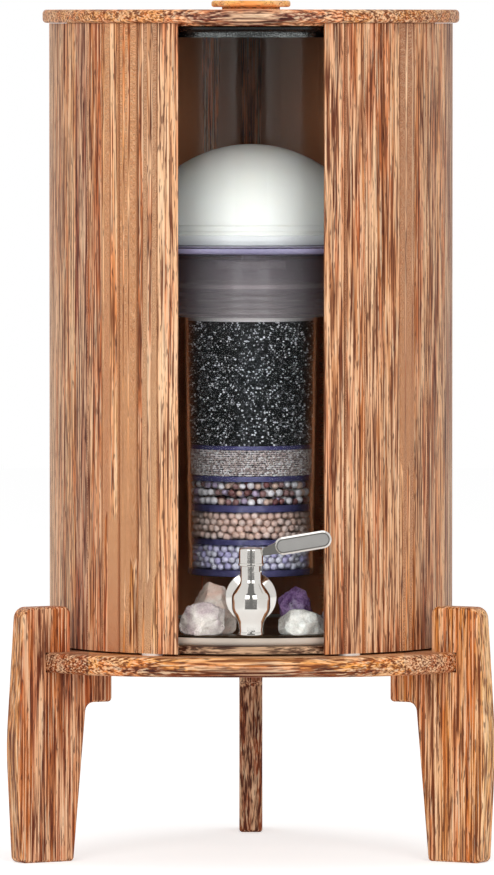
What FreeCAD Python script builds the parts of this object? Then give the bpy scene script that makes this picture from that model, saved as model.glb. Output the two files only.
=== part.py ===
import FreeCAD, Part
import math
import os

# Gravity water filter: a glass vessel with a tap stands in a slatted wooden casing on a
# three-legged wooden stand. A clear tank with a ceramic dome hangs in the vessel's rim, and
# a clear cartridge with layers of media hangs under the tank.
# Millimetres, +Z up. The front, with the slot and the tap, faces -Y.
# The origin is the middle of the footprint box on the floor.

Vector = FreeCAD.Vector
UP = Vector(0, 0, 1)
CENTRE = Vector(0, 0, 0)

# Fits that pieces share
SEAT_GAP = 0.3
SLIP_GAP = 0.2
RUNNING_GAP = 0.05

# Roundings that pieces share
FINE_EDGE = 0.4
SOFT_EDGE = 1.0

# Stand shelf, a rounded triangle of glued boards
SHELF_BOTTOM_Z = 143.0
SHELF_T = 15.0
SHELF_CORNER_OFFSET = 58.4
SHELF_SIDE_R = 658.0
SHELF_ROUND = 4.0
LEG_AZIMUTHS = {"leg_front_left": -60.0, "leg_front_right": 60.0, "leg_rear": 180.0}

# Legs, upright planks notched over the shelf
LEG_T = 18.0
LEG_EDGE_ROUND = 2.5
EAR_TO_CASING = 8.0
EAR_OVERLAP = 22.0
EAR_W = 40.0
EAR_H = 34.0
EAR_OUTER_ROUND = 9.0
EAR_INNER_ROUND = 6.0
FOOT_W = 45.0
FOOT_BEHIND_SLOT = 24.5
FOOT_OUTER_ROUND = 5.0
FOOT_INNER_ROUND = 3.0
LEG_BULGE = 4.5
LEG_BULGE_Z = 88.0
LEG_BULGE_ROUND = 300.0
BRACKET_REACH = 57.5
BRACKET_ROOT_REACH = 35.5
BRACKET_H = 24.0
BRACKET_TIP_ROUND = 3.0
BRACKET_ROOT_ROUND = 7.0

# Casing of upright staves, open at the front
STAVE_COUNT = 49
STAVES_PER_PANEL = 7
SLOT_HALF_W = 54.3
VESSEL_TO_STAVES = 6.0
STAVE_T = 12.0
CASING_H = 470.0
STAVE_CHAMFER = 0.5
PAD_R = 8.0
PAD_T = 1.5
PAD_AZIMUTHS = [-150, -90, -30, 30, 90, 150]
FLOOR_T = 5.5

# Glass vessel
VESSEL_R = 135.0
GLASS_T = 5.5
VESSEL_FLOOR_T = 6.0
VESSEL_H = 458.0
VESSEL_FOOT_ROUND = 4.0
VESSEL_INNER_ROUND = 3.0

# Black gasket between the glass rim and the tank's flange
GASKET_WEB_T = 1.8
GASKET_WALL_T = 2.5
GASKET_BEAD = 0.5
GASKET_LIP_T = 1.3
GASKET_LIP_H = 4.0

# Clear upper tank
TANK_TO_GLASS = 3.5
TANK_WALL_T = 3.0
TANK_FLOOR_T = 4.0
TANK_DEPTH = 167.8
TANK_FOOT_ROUND = 5.0
TANK_INNER_ROUND = 3.0
FLANGE_T = 2.2

# Ceramic dome on a clear base with a threaded stem
DOME_R = 83.5
DOME_H = 71.5
DOME_WALL_T = 9.0
DOME_GROOVE_HEIGHTS = [6.5, 11.0]
DOME_GROOVE_W = 1.0
DOME_GROOVE_DEPTH = 0.8
DOME_BASE_T = 4.0
DOME_BASE_RIM_T = 2.2
DOME_BASE_RIM_H = 4.0
WASHER_T = 1.5
WASHER_R = 20.0
STEM_R = 7.0
STEM_BORE_R = 4.0
STEM_NUT_R = 13.0
STEM_NUT_T = 8.0
STEM_END_LENGTH = 2.0

# Clear screw collar that joins the cartridge to the tank
COLLAR_R = 60.0
COLLAR_WALL_T = 3.0
COLLAR_TOP_T = 4.0
COLLAR_H = 48.0
COLLAR_ROUND = 2.0
COLLAR_RIB_COUNT = 4
COLLAR_RIB_PITCH = 5.0
COLLAR_RIB_DEPTH = 1.2
COLLAR_TAB_W = 23.0
COLLAR_TAB_H = 5.0
COLLAR_TAB_DEPTH = 3.5
COLLAR_LEDGE_T = 2.0
COLLAR_LEDGE_W = 6.0
COLLAR_SEAL_T = 3.0
NECK_H = 22.0
NECK_WALL_T = 3.0
NECK_WEB_T = 3.0

# Cartridge, slightly tapered, with its layers from the bottom upwards
CARTRIDGE_TOP_R = 50.5
CARTRIDGE_BOTTOM_R = 47.5
CARTRIDGE_WALL_T = 2.0
CARTRIDGE_BASE_T = 5.0
CARTRIDGE_LAYERS = [
    ("media_lavender_beads", 19.0),
    ("screen_1", 4.0),
    ("media_beige_beads", 21.0),
    ("screen_2", 5.0),
    ("media_mixed_beads", 18.0),
    ("screen_3", 4.0),
    ("media_mineral_sand", 20.0),
    ("screen_4", 3.0),
    ("media_carbon", 94.0),
    ("top_felt", 3.0),
]
SCREEN_SLOT_COUNT = 8
SCREEN_SLOT_W = 3.0
SCREEN_SLOT_INNER_R = 14.0
SCREEN_SLOT_OUTER_R = 36.0

# Tap
TAP_HEIGHT = 37.0
TAP_REACH = 38.5
FLANGE_R = 19.0
FLANGE_DISC_T = 1.6
FLANGE_DOME_T = 3.4
FLANGE_CROWN_R = 11.4
FLANGE_CROWN_ROUND = 6.0
OUTER_SEAL_R = 17.0
OUTER_SEAL_T = 3.0
INNER_SEAL_R = 14.0
INNER_SEAL_T = 3.0
SHANK_R = 8.0
SHANK_BORE_R = 4.0
SHANK_LENGTH = 17.0
SHANK_NUT_R = 14.0
SHANK_NUT_T = 8.0
TAP_NECK_R = 7.5
BARREL_R = 14.3
BARREL_NECK_R = 7.9
BARREL_TOP = 25.6
SPOUT_DROP = 25.6
SPOUT_R = 8.7
SPOUT_LIP_R = 9.1
SPOUT_LIP_T = 1.6
SPOUT_LIP_SLOPE = 0.8
SPOUT_FLARE = 0.6
SPOUT_FLARE_Z = -17.0
SPOUT_FLARE_ROUND = 8.0
SPOUT_BORE_R = 5.2
BARREL_LOW_Z = -7.5
BARREL_LOW_ROUND = 10.0
BARREL_HIGH_Z = 4.0
BARREL_HIGH_ROUND = 8.0
BARREL_NECK_Z = 13.5
BARREL_NECK_ROUND = 6.0
VALVE_R = 5.8
VALVE_BOTTOM = -9.0
VALVE_PORT_R = 3.4
VALVE_SIDE_PORT_R = 3.0
STOP_NOTCH_H = 4.4
STOP_NOTCH_DEPTH = 1.1
STOP_NOTCH_ANGLE = 100.0
STOP_LUG_MARGIN = 5.0
O_RING_WIRE_R = 0.8
O_RING_LEVELS = [10.0, 14.0]
CAP_R = 9.0
CAP_RING_R = 9.5
CAP_RING_T = 2.0
CAP_H = 11.3
CAP_ROUND = 1.6
LEVER_ROOT_X = 24.0
LEVER_SPAN = 29.5
LEVER_TILT = 9.5
LEVER_HALF_W = 6.6
LEVER_T = 4.6
LEVER_BEVEL = 1.3
LEVER_RISE = 1.4
LEVER_RECESS_T = 0.5
LEVER_RECESS_MARGIN = 2.2
ARM_H = 4.6

# Lid and knob
LID_OVERHANG = 5.0
LID_T = 10.0
LID_ROUND = 3.0
LID_STEP_T = 2.2
LID_STEP_PLAY = 1.5
KNOB_R = 30.0
KNOB_T = 5.0
KNOB_ROUND = 2.0
KNOB_NECK_R = 22.0
KNOB_NECK_H = 2.0
SCREW_R = 2.0
SCREW_HEAD_R = 4.0
SCREW_HEAD_H = 2.2
SCREW_TIP_H = 1.5

# Stones loose on the vessel's floor: length, width, height, x, distance in front of the axis, turn
STONES = {
    "stone_rose_quartz": (34.0, 28.0, 40.0, -28.0, 78.0, 10.0),
    "stone_druzy": (38.0, 27.0, 27.0, -35.0, 107.5, -12.0),
    "stone_clear_quartz": (40.0, 28.0, 20.0, 37.0, 106.0, 12.0),
    "stone_amethyst": (26.0, 24.0, 38.0, 33.0, 77.0, 30.0),
    "stone_grey_agate": (30.0, 25.0, 26.0, 66.0, 84.0, -35.0),
    "stone_flat_shard": (32.0, 22.0, 8.0, -70.0, 87.0, 40.0),
}
STONE_FACETS = 16
STONE_SINK = 0.55

# Radii that follow from the vessel, outwards and inwards
VESSEL_INNER_R = VESSEL_R - GLASS_T
TANK_R = VESSEL_INNER_R - TANK_TO_GLASS
CASING_INNER_R = VESSEL_R + VESSEL_TO_STAVES
CASING_R = CASING_INNER_R + STAVE_T
LID_R = CASING_R + LID_OVERHANG
EAR_INNER_R = CASING_R + EAR_TO_CASING
LEG_SLOT_R = EAR_INNER_R + EAR_OVERLAP
FOOT_INNER_R = LEG_SLOT_R - FOOT_BEHIND_SLOT
FOOT_OUTER_R = FOOT_INNER_R + FOOT_W
BRACKET_TIP_R = LEG_SLOT_R - BRACKET_REACH
BRACKET_ROOT_R = LEG_SLOT_R - BRACKET_ROOT_REACH
SHELF_CORNER_R = LEG_SLOT_R - SLIP_GAP - SHELF_CORNER_OFFSET

# Heights that follow from the pieces below
SHELF_TOP_Z = SHELF_BOTTOM_Z + SHELF_T
CASING_Z = SHELF_TOP_Z + PAD_T
CASING_TOP_Z = CASING_Z + CASING_H
SLOT_HALF_ANGLE = math.degrees(math.asin(SLOT_HALF_W / CASING_R))
STAVE_PITCH = (360.0 - 2.0 * SLOT_HALF_ANGLE) / STAVE_COUNT
VESSEL_Z = CASING_Z + FLOOR_T
VESSEL_FLOOR_Z = VESSEL_Z + VESSEL_FLOOR_T
RIM_Z = VESSEL_Z + VESSEL_H
FLANGE_Z = RIM_Z + GASKET_WEB_T
FLANGE_TOP_Z = FLANGE_Z + FLANGE_T
TANK_BOTTOM_Z = FLANGE_Z - TANK_DEPTH
TANK_FLOOR_Z = TANK_BOTTOM_Z + TANK_FLOOR_T
DOME_BASE_Z = TANK_FLOOR_Z + WASHER_T
DOME_Z = DOME_BASE_Z + DOME_BASE_T
COLLAR_TOP_Z = TANK_BOTTOM_Z - WASHER_T
COLLAR_Z = COLLAR_TOP_Z - COLLAR_H
NECK_TOP_Z = COLLAR_Z + NECK_H
LAYERS_H = sum(thickness for name, thickness in CARTRIDGE_LAYERS)
CARTRIDGE_Z = COLLAR_Z - LAYERS_H
CARTRIDGE_BASE_Z = CARTRIDGE_Z - CARTRIDGE_BASE_T
TAP_Z = VESSEL_Z + TAP_HEIGHT
TAP_Y = -(VESSEL_R + TAP_REACH)
FLANGE_Y = -(VESSEL_R + OUTER_SEAL_T)
LID_Z = CASING_TOP_Z + SEAT_GAP
KNOB_Z = LID_Z + LID_T + KNOB_NECK_H


def polar(radius, azimuth, z=0.0):
    """Return the point at a radius and at an azimuth counted from the front."""
    angle = math.radians(azimuth)
    return Vector(radius * math.sin(angle), -radius * math.cos(angle), z)


def outline(corners):
    """Return a closed wire in the XZ plane through (x, z, radius) corners, rounded by arcs."""
    points = [Vector(x, 0, z) for x, z, radius in corners]
    ends = []
    for index, (x, z, radius) in enumerate(corners):
        corner = points[index]
        back = (points[index - 1] - corner).normalize()
        ahead = (points[(index + 1) % len(points)] - corner).normalize()
        half_angle = back.getAngle(ahead) / 2.0
        reach = radius / math.tan(half_angle)
        bisector = (back + ahead).normalize() if radius else back
        middle = corner + bisector * (radius / math.sin(half_angle) - radius)
        ends.append((corner + back * reach, middle, corner + ahead * reach, radius))
    edges = []
    for index, (start, middle, end, radius) in enumerate(ends):
        if radius:
            edges.append(Part.Arc(start, middle, end).toShape())
        following = ends[(index + 1) % len(ends)][0]
        if end.distanceToPoint(following) > 1e-6:
            edges.append(Part.LineSegment(end, following).toShape())
    return Part.Wire(edges)


def turned(corners):
    """Return the solid of revolution about Z of an outline given as (radius, z, rounding)."""
    return Part.Face(outline(corners)).revolve(CENTRE, UP, 360)


def ring(inner_r, outer_r, bottom_z, top_z, rounding=0.0):
    """Return a flat ring between two radii and two heights."""
    return turned([
        (inner_r, bottom_z, 0),
        (outer_r, bottom_z, rounding),
        (outer_r, top_z, rounding),
        (inner_r, top_z, 0),
    ])


def disc(radius, bottom_z, height):
    """Return an upright cylinder on the axis."""
    return Part.makeCylinder(radius, height, Vector(0, 0, bottom_z))


def plank(corners, thickness):
    """Return an outline in the XZ plane thickened evenly both ways along Y."""
    face = Part.Face(outline(corners))
    face.translate(Vector(0, -thickness / 2.0, 0))
    return face.extrude(Vector(0, thickness, 0))


def turned_to(shape, azimuth):
    """Return a copy turned about Z, so that what points along +X points to the azimuth."""
    copy = shape.copy()
    copy.rotate(CENTRE, UP, azimuth - 90.0)
    return copy


def hexagon(across_corners_r, height):
    """Return a hexagonal prism on the axis, standing on z = 0."""
    points = [polar(across_corners_r, 60.0 * corner) for corner in range(7)]
    return Part.Face(Part.makePolygon(points)).extrude(Vector(0, 0, height))


def facing_front(shape, y, z):
    """Return a shape built along Z with its axis laid along +Y, its foot at (0, y, z)."""
    copy = shape.copy()
    copy.rotate(CENTRE, Vector(1, 0, 0), -90)
    copy.translate(Vector(0, y, z))
    return copy


def on_tap_axis(shape):
    """Return a shape moved from the origin to the tap's own axis and level."""
    copy = shape.copy()
    copy.translate(Vector(0, TAP_Y, TAP_Z))
    return copy


def shelf_outline():
    """Return the rounded triangle: three corner arcs joined by tangent long side arcs."""
    shared = SHELF_SIDE_R - SHELF_CORNER_R
    root = math.sqrt(4.0 * shared ** 2 - 3.0 * SHELF_CORNER_OFFSET ** 2)
    side_offset = (root - SHELF_CORNER_OFFSET) / 2.0
    edges = []
    for azimuth in (60.0, 180.0, 300.0):
        corner = polar(SHELF_CORNER_OFFSET, azimuth)
        touches = []
        for side in (-60.0, 60.0):
            side_centre = polar(-side_offset, azimuth + side)
            outward = (corner - side_centre).normalize()
            touches.append(corner + outward * SHELF_CORNER_R)
        tip = polar(SHELF_CORNER_OFFSET + SHELF_CORNER_R, azimuth)
        edges.append((touches[0], tip, touches[1], azimuth))
    shapes = []
    for index, (start, tip, end, azimuth) in enumerate(edges):
        shapes.append(Part.Arc(start, tip, end).toShape())
        following = edges[(index + 1) % len(edges)][0]
        flat_middle = polar(SHELF_SIDE_R - side_offset, azimuth + 60.0)
        shapes.append(Part.Arc(end, flat_middle, following).toShape())
    return Part.Wire(shapes)


def make_shelf():
    """Return the shelf with rounded edges, whose corners sit in the slots of the legs."""
    wire = shelf_outline()
    wire.translate(Vector(0, 0, SHELF_BOTTOM_Z))
    shelf = Part.Face(wire).extrude(Vector(0, 0, SHELF_T))
    rims = [edge for edge in shelf.Edges if abs(edge.BoundBox.ZLength) < 1e-6]
    return shelf.makeFillet(SHELF_ROUND, rims)


def make_leg():
    """Return one leg pointing along +X: foot, bowed back, ear, slot for the shelf, and bracket."""
    corners = [
        (FOOT_INNER_R, 0, FOOT_INNER_ROUND),
        (FOOT_OUTER_R, 0, FOOT_OUTER_ROUND),
        (FOOT_OUTER_R + LEG_BULGE, LEG_BULGE_Z, LEG_BULGE_ROUND),
        (EAR_INNER_R + EAR_W, SHELF_TOP_Z + EAR_H, EAR_OUTER_ROUND),
        (EAR_INNER_R, SHELF_TOP_Z + EAR_H, EAR_INNER_ROUND),
        (EAR_INNER_R, SHELF_TOP_Z, 0),
        (LEG_SLOT_R, SHELF_TOP_Z, 0),
        (LEG_SLOT_R, SHELF_BOTTOM_Z, 0),
        (BRACKET_TIP_R, SHELF_BOTTOM_Z, 0),
        (BRACKET_TIP_R, SHELF_BOTTOM_Z - BRACKET_H, BRACKET_TIP_ROUND),
        (BRACKET_ROOT_R, SHELF_BOTTOM_Z - BRACKET_H, BRACKET_ROOT_ROUND),
    ]
    leg = plank(corners, LEG_T)
    rounded = []
    for edge in leg.Edges:
        middle = edge.CenterOfMass
        on_face = abs(abs(middle.y) - LEG_T / 2.0) < 1e-6
        at_slot = SHELF_BOTTOM_Z - 1e-6 < middle.z < SHELF_TOP_Z + 1e-6 and middle.x < LEG_SLOT_R + 1e-6
        if on_face and not at_slot:
            rounded.append(edge)
    return leg.makeFillet(LEG_EDGE_ROUND, rounded)


def make_stave(azimuth):
    """Return one stave of the casing, centred on an azimuth, with chamfered outer edges."""
    half = STAVE_PITCH / 2.0
    inset = math.degrees(STAVE_CHAMFER / CASING_R)
    shoulder_r = CASING_R - STAVE_CHAMFER
    inner_left = polar(CASING_INNER_R, azimuth - half, CASING_Z)
    inner_middle = polar(CASING_INNER_R, azimuth, CASING_Z)
    inner_right = polar(CASING_INNER_R, azimuth + half, CASING_Z)
    shoulder_right = polar(shoulder_r, azimuth + half, CASING_Z)
    outer_right = polar(CASING_R, azimuth + half - inset, CASING_Z)
    outer_middle = polar(CASING_R, azimuth, CASING_Z)
    outer_left = polar(CASING_R, azimuth - half + inset, CASING_Z)
    shoulder_left = polar(shoulder_r, azimuth - half, CASING_Z)
    section = Part.Wire([
        Part.Arc(inner_left, inner_middle, inner_right).toShape(),
        Part.LineSegment(inner_right, shoulder_right).toShape(),
        Part.LineSegment(shoulder_right, outer_right).toShape(),
        Part.Arc(outer_right, outer_middle, outer_left).toShape(),
        Part.LineSegment(outer_left, shoulder_left).toShape(),
        Part.LineSegment(shoulder_left, inner_left).toShape(),
    ])
    return Part.Face(section).extrude(Vector(0, 0, CASING_H))


def make_panels():
    """Return the casing's panels by name, each a group of glued staves side by side."""
    panels = {}
    slot = Part.makeBox(2.0 * SLOT_HALF_W, CASING_R, CASING_H, Vector(-SLOT_HALF_W, -CASING_R, CASING_Z))
    for first in range(0, STAVE_COUNT, STAVES_PER_PANEL):
        staves = []
        for index in range(first, min(first + STAVES_PER_PANEL, STAVE_COUNT)):
            stave = make_stave(SLOT_HALF_ANGLE + (index + 0.5) * STAVE_PITCH)
            if index in (0, STAVE_COUNT - 1):
                stave = stave.cut(slot)
            staves.append(stave)
        panels["casing_staves_" + str(first // STAVES_PER_PANEL + 1)] = Part.Compound(staves)
    return panels


def make_pads():
    """Return the pads that lift the casing off the shelf."""
    middle_r = CASING_R - STAVE_T / 2.0
    feet = [polar(middle_r, azimuth, SHELF_TOP_Z) for azimuth in PAD_AZIMUTHS]
    return Part.Compound([Part.makeCylinder(PAD_R, PAD_T, foot) for foot in feet])


def make_vessel():
    """Return the glass vessel with its floor and the hole for the tap's shank."""
    vessel = turned([
        (0, VESSEL_Z, 0),
        (VESSEL_R, VESSEL_Z, VESSEL_FOOT_ROUND),
        (VESSEL_R, RIM_Z, SOFT_EDGE),
        (VESSEL_INNER_R, RIM_Z, SOFT_EDGE),
        (VESSEL_INNER_R, VESSEL_FLOOR_Z, VESSEL_INNER_ROUND),
        (0, VESSEL_FLOOR_Z, 0),
    ])
    hole = facing_front(disc(SHANK_R + SEAT_GAP, 0, VESSEL_R / 2.0), -VESSEL_R - OUTER_SEAL_T, TAP_Z)
    return vessel.cut(hole)


def make_gasket():
    """Return the gasket: a lip inside the rim, a web under the flange and a beaded outer wall."""
    outer_r = VESSEL_R + GASKET_WALL_T
    bead_z = RIM_Z + (FLANGE_TOP_Z - RIM_Z) / 2.0
    lip_r = VESSEL_INNER_R - SEAT_GAP
    return turned([
        (TANK_R + SLIP_GAP, FLANGE_Z, 0),
        (TANK_R + SLIP_GAP, RIM_Z, 0),
        (lip_r - GASKET_LIP_T, RIM_Z, 0),
        (lip_r - GASKET_LIP_T, RIM_Z - GASKET_LIP_H, 0),
        (lip_r, RIM_Z - GASKET_LIP_H, 0),
        (lip_r, RIM_Z, 0),
        (outer_r, RIM_Z, 0),
        (outer_r + GASKET_BEAD, RIM_Z + GASKET_BEAD, 0),
        (outer_r, bead_z, 0),
        (outer_r + GASKET_BEAD, FLANGE_TOP_Z - GASKET_BEAD, 0),
        (outer_r, FLANGE_TOP_Z, 0),
        (VESSEL_R, FLANGE_TOP_Z, 0),
        (VESSEL_R, FLANGE_Z, 0),
    ])


def make_tank():
    """Return the clear upper tank, a flanged bowl with a hole for the dome's stem."""
    inner_r = TANK_R - TANK_WALL_T
    return turned([
        (STEM_R + SLIP_GAP, TANK_BOTTOM_Z, 0),
        (TANK_R, TANK_BOTTOM_Z, TANK_FOOT_ROUND),
        (TANK_R, FLANGE_Z, 0),
        (VESSEL_R - SLIP_GAP, FLANGE_Z, 0),
        (VESSEL_R - SLIP_GAP, FLANGE_TOP_Z, FINE_EDGE),
        (inner_r, FLANGE_TOP_Z, FINE_EDGE),
        (inner_r, TANK_FLOOR_Z, TANK_INNER_ROUND),
        (STEM_R + SLIP_GAP, TANK_FLOOR_Z, 0),
    ])


def domed_solid(radius, height, base_z):
    """Return a solid dome of two tangent arcs, a shoulder and a crown, close to half an ellipse."""
    shoulder_r = height * (height + radius) / (2.0 * radius)
    crown_r = radius ** 2 / height
    shoulder_centre = Vector(radius - shoulder_r, 0, base_z)
    crown_centre = Vector(0, 0, base_z + height - crown_r)
    joining = (shoulder_centre - crown_centre).normalize()
    middle_way = (joining + Vector(1, 0, 0)).normalize()
    crown_way = (joining + UP).normalize()
    side = Vector(radius, 0, base_z)
    join = crown_centre + joining * crown_r
    top = Vector(0, 0, base_z + height)
    centre = Vector(0, 0, base_z)
    section = Part.Wire([
        Part.LineSegment(centre, side).toShape(),
        Part.Arc(side, shoulder_centre + middle_way * shoulder_r, join).toShape(),
        Part.Arc(join, crown_centre + crown_way * crown_r, top).toShape(),
        Part.LineSegment(top, centre).toShape(),
    ])
    return Part.Face(section).revolve(CENTRE, UP, 360)


def make_dome():
    """Return the hollow ceramic dome with the fine grooves round its foot."""
    dome = domed_solid(DOME_R, DOME_H, DOME_Z)
    dome = dome.cut(domed_solid(DOME_R - DOME_WALL_T, DOME_H - DOME_WALL_T, DOME_Z))
    for height in DOME_GROOVE_HEIGHTS:
        wall_r = DOME_R * math.sqrt(1.0 - (height / DOME_H) ** 2)
        groove_z = DOME_Z + height - DOME_GROOVE_W / 2.0
        groove = ring(wall_r - DOME_GROOVE_DEPTH, TANK_R, groove_z, groove_z + DOME_GROOVE_W)
        dome = dome.cut(groove)
    return dome


def make_dome_base():
    """Return the clear base: a plate with a low rim round the dome and a hollow stem."""
    rim_inner_r = DOME_R + SLIP_GAP
    rim_r = rim_inner_r + DOME_BASE_RIM_T
    stem_end_z = COLLAR_TOP_Z - COLLAR_TOP_T - STEM_NUT_T - STEM_END_LENGTH
    return turned([
        (STEM_BORE_R, stem_end_z, 0),
        (STEM_R, stem_end_z, 0),
        (STEM_R, DOME_BASE_Z, 0),
        (rim_r, DOME_BASE_Z, SOFT_EDGE),
        (rim_r, DOME_Z + DOME_BASE_RIM_H, SOFT_EDGE),
        (rim_inner_r, DOME_Z + DOME_BASE_RIM_H, 0),
        (rim_inner_r, DOME_Z, 0),
        (STEM_BORE_R, DOME_Z, 0),
    ])


def make_stem_nut():
    """Return the winged nut under the collar's top that clamps dome, tank and collar."""
    top_z = COLLAR_TOP_Z - COLLAR_TOP_T
    nut = hexagon(STEM_NUT_R, STEM_NUT_T)
    nut.translate(Vector(0, 0, top_z - STEM_NUT_T))
    wing = Part.makeBox(4.0 * STEM_NUT_R, STEM_NUT_T / 2.0, STEM_NUT_T)
    wing.translate(Vector(-2.0 * STEM_NUT_R, -STEM_NUT_T / 4.0, top_z - STEM_NUT_T))
    return nut.fuse(wing).removeSplitter().cut(disc(STEM_R + RUNNING_GAP, CARTRIDGE_Z, COLLAR_TOP_Z))


def make_collar():
    """Return the clear screw collar: a cap with thread ribs outside and a tab at the front."""
    inner_r = COLLAR_R - COLLAR_WALL_T
    ledge_z = NECK_TOP_Z + COLLAR_SEAL_T
    under_top_z = COLLAR_TOP_Z - COLLAR_TOP_T
    corners = [(inner_r, COLLAR_Z, 0), (COLLAR_R, COLLAR_Z, 0)]
    for rib in range(COLLAR_RIB_COUNT):
        rib_z = COLLAR_Z + COLLAR_RIB_PITCH * (rib + 0.5)
        corners.append((COLLAR_R, rib_z - COLLAR_RIB_DEPTH, 0))
        corners.append((COLLAR_R + COLLAR_RIB_DEPTH, rib_z, FINE_EDGE))
        corners.append((COLLAR_R, rib_z + COLLAR_RIB_DEPTH, 0))
    corners += [
        (COLLAR_R, COLLAR_TOP_Z, COLLAR_ROUND),
        (STEM_R + SLIP_GAP, COLLAR_TOP_Z, 0),
        (STEM_R + SLIP_GAP, under_top_z, 0),
        (inner_r, under_top_z, SOFT_EDGE),
        (inner_r, ledge_z + COLLAR_LEDGE_T, 0),
        (inner_r - COLLAR_LEDGE_W, ledge_z + COLLAR_LEDGE_T, 0),
        (inner_r - COLLAR_LEDGE_W, ledge_z, 0),
        (inner_r, ledge_z, 0),
    ]
    tab = Part.makeBox(COLLAR_TAB_W, COLLAR_TAB_DEPTH + COLLAR_WALL_T, COLLAR_TAB_H)
    tab.translate(Vector(-COLLAR_TAB_W / 2.0, -COLLAR_R - COLLAR_TAB_DEPTH, COLLAR_TOP_Z - COLLAR_TAB_H))
    tab = tab.makeFillet(SOFT_EDGE, [edge for edge in tab.Edges if edge.CenterOfMass.y < -COLLAR_R])
    bore = disc(inner_r + COLLAR_WALL_T / 2.0, COLLAR_Z, COLLAR_H)
    return turned(corners).fuse(tab.cut(bore)).removeSplitter()


def cartridge_r(z):
    """Return the cartridge's outer radius at a height."""
    share = (z - CARTRIDGE_BASE_Z) / (COLLAR_Z - CARTRIDGE_BASE_Z)
    return CARTRIDGE_BOTTOM_R + (CARTRIDGE_TOP_R - CARTRIDGE_BOTTOM_R) * share


def make_housing():
    """Return the clear cartridge tube with the wider threaded neck that the collar screws over."""
    neck_r = COLLAR_R - COLLAR_WALL_T - SLIP_GAP
    bottom_r = cartridge_r(CARTRIDGE_Z)
    return turned([
        (bottom_r - CARTRIDGE_WALL_T, CARTRIDGE_Z, 0),
        (bottom_r, CARTRIDGE_Z, 0),
        (CARTRIDGE_TOP_R, COLLAR_Z, 0),
        (neck_r, COLLAR_Z, SOFT_EDGE),
        (neck_r, NECK_TOP_Z, 0),
        (neck_r - NECK_WALL_T, NECK_TOP_Z, 0),
        (neck_r - NECK_WALL_T, COLLAR_Z + NECK_WEB_T, 0),
        (CARTRIDGE_TOP_R - CARTRIDGE_WALL_T, COLLAR_Z + NECK_WEB_T, 0),
        (CARTRIDGE_TOP_R - CARTRIDGE_WALL_T, COLLAR_Z, 0),
    ])


def make_cone_layer(bottom_z, thickness):
    """Return a layer that fills the tapered cartridge between two heights."""
    clearance = CARTRIDGE_WALL_T + SLIP_GAP
    bottom_r = cartridge_r(bottom_z) - clearance
    top_r = cartridge_r(bottom_z + thickness) - clearance
    return Part.makeCone(bottom_r, top_r, thickness, Vector(0, 0, bottom_z))


def slotted(plate, bottom_z, thickness):
    """Return a plate with radial water slots cut through it."""
    slot_length = SCREEN_SLOT_OUTER_R - SCREEN_SLOT_INNER_R
    slot = Part.makeBox(slot_length, SCREEN_SLOT_W, thickness)
    slot.translate(Vector(SCREEN_SLOT_INNER_R, -SCREEN_SLOT_W / 2.0, bottom_z))
    for index in range(SCREEN_SLOT_COUNT):
        plate = plate.cut(turned_to(slot, 360.0 * index / SCREEN_SLOT_COUNT))
    return plate


def make_layers():
    """Return the cartridge's media, screens and felt by name, from the bottom upwards."""
    layers = {}
    layer_z = CARTRIDGE_Z
    for name, thickness in CARTRIDGE_LAYERS:
        layer = make_cone_layer(layer_z, thickness)
        layers[name] = slotted(layer, layer_z, thickness) if name.startswith("screen") else layer
        layer_z += thickness
    return layers


def make_cartridge_base():
    """Return the cartridge's bottom plate with its water slots."""
    plate = turned([
        (0, CARTRIDGE_BASE_Z, 0),
        (cartridge_r(CARTRIDGE_BASE_Z), CARTRIDGE_BASE_Z, SOFT_EDGE),
        (cartridge_r(CARTRIDGE_Z), CARTRIDGE_Z, 0),
        (0, CARTRIDGE_Z, 0),
    ])
    return slotted(plate, CARTRIDGE_BASE_Z, CARTRIDGE_BASE_T)


def make_outer_seal():
    """Return the soft washer between the tap's flange and the curved glass."""
    seal = facing_front(disc(OUTER_SEAL_R, 0, 3.0 * OUTER_SEAL_T), FLANGE_Y, TAP_Z)
    seal = seal.cut(disc(VESSEL_R + RUNNING_GAP, VESSEL_Z, VESSEL_H))
    return seal.cut(facing_front(disc(SHANK_R + SLIP_GAP, 0, VESSEL_R), FLANGE_Y, TAP_Z))


def make_inner_seal():
    """Return the soft washer between the curved glass inside and the shank's nut."""
    seal = facing_front(disc(INNER_SEAL_R, 0, GLASS_T + INNER_SEAL_T), -VESSEL_R, TAP_Z)
    seal = seal.common(disc(VESSEL_INNER_R - 2.0 * RUNNING_GAP, VESSEL_Z, VESSEL_H))
    return seal.cut(facing_front(disc(SHANK_R + SLIP_GAP, 0, VESSEL_R), FLANGE_Y, TAP_Z))


def make_shank_nut():
    """Return the flanged hexagon nut on the shank inside the vessel."""
    nut = hexagon(SHANK_NUT_R, SHANK_NUT_T)
    washer = disc(SHANK_NUT_R, 0, SHANK_NUT_T / 4.0)
    nut = nut.fuse(washer).removeSplitter().cut(disc(SHANK_R + RUNNING_GAP, 0, SHANK_NUT_T))
    return facing_front(nut, -VESSEL_INNER_R + INNER_SEAL_T, TAP_Z)


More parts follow.
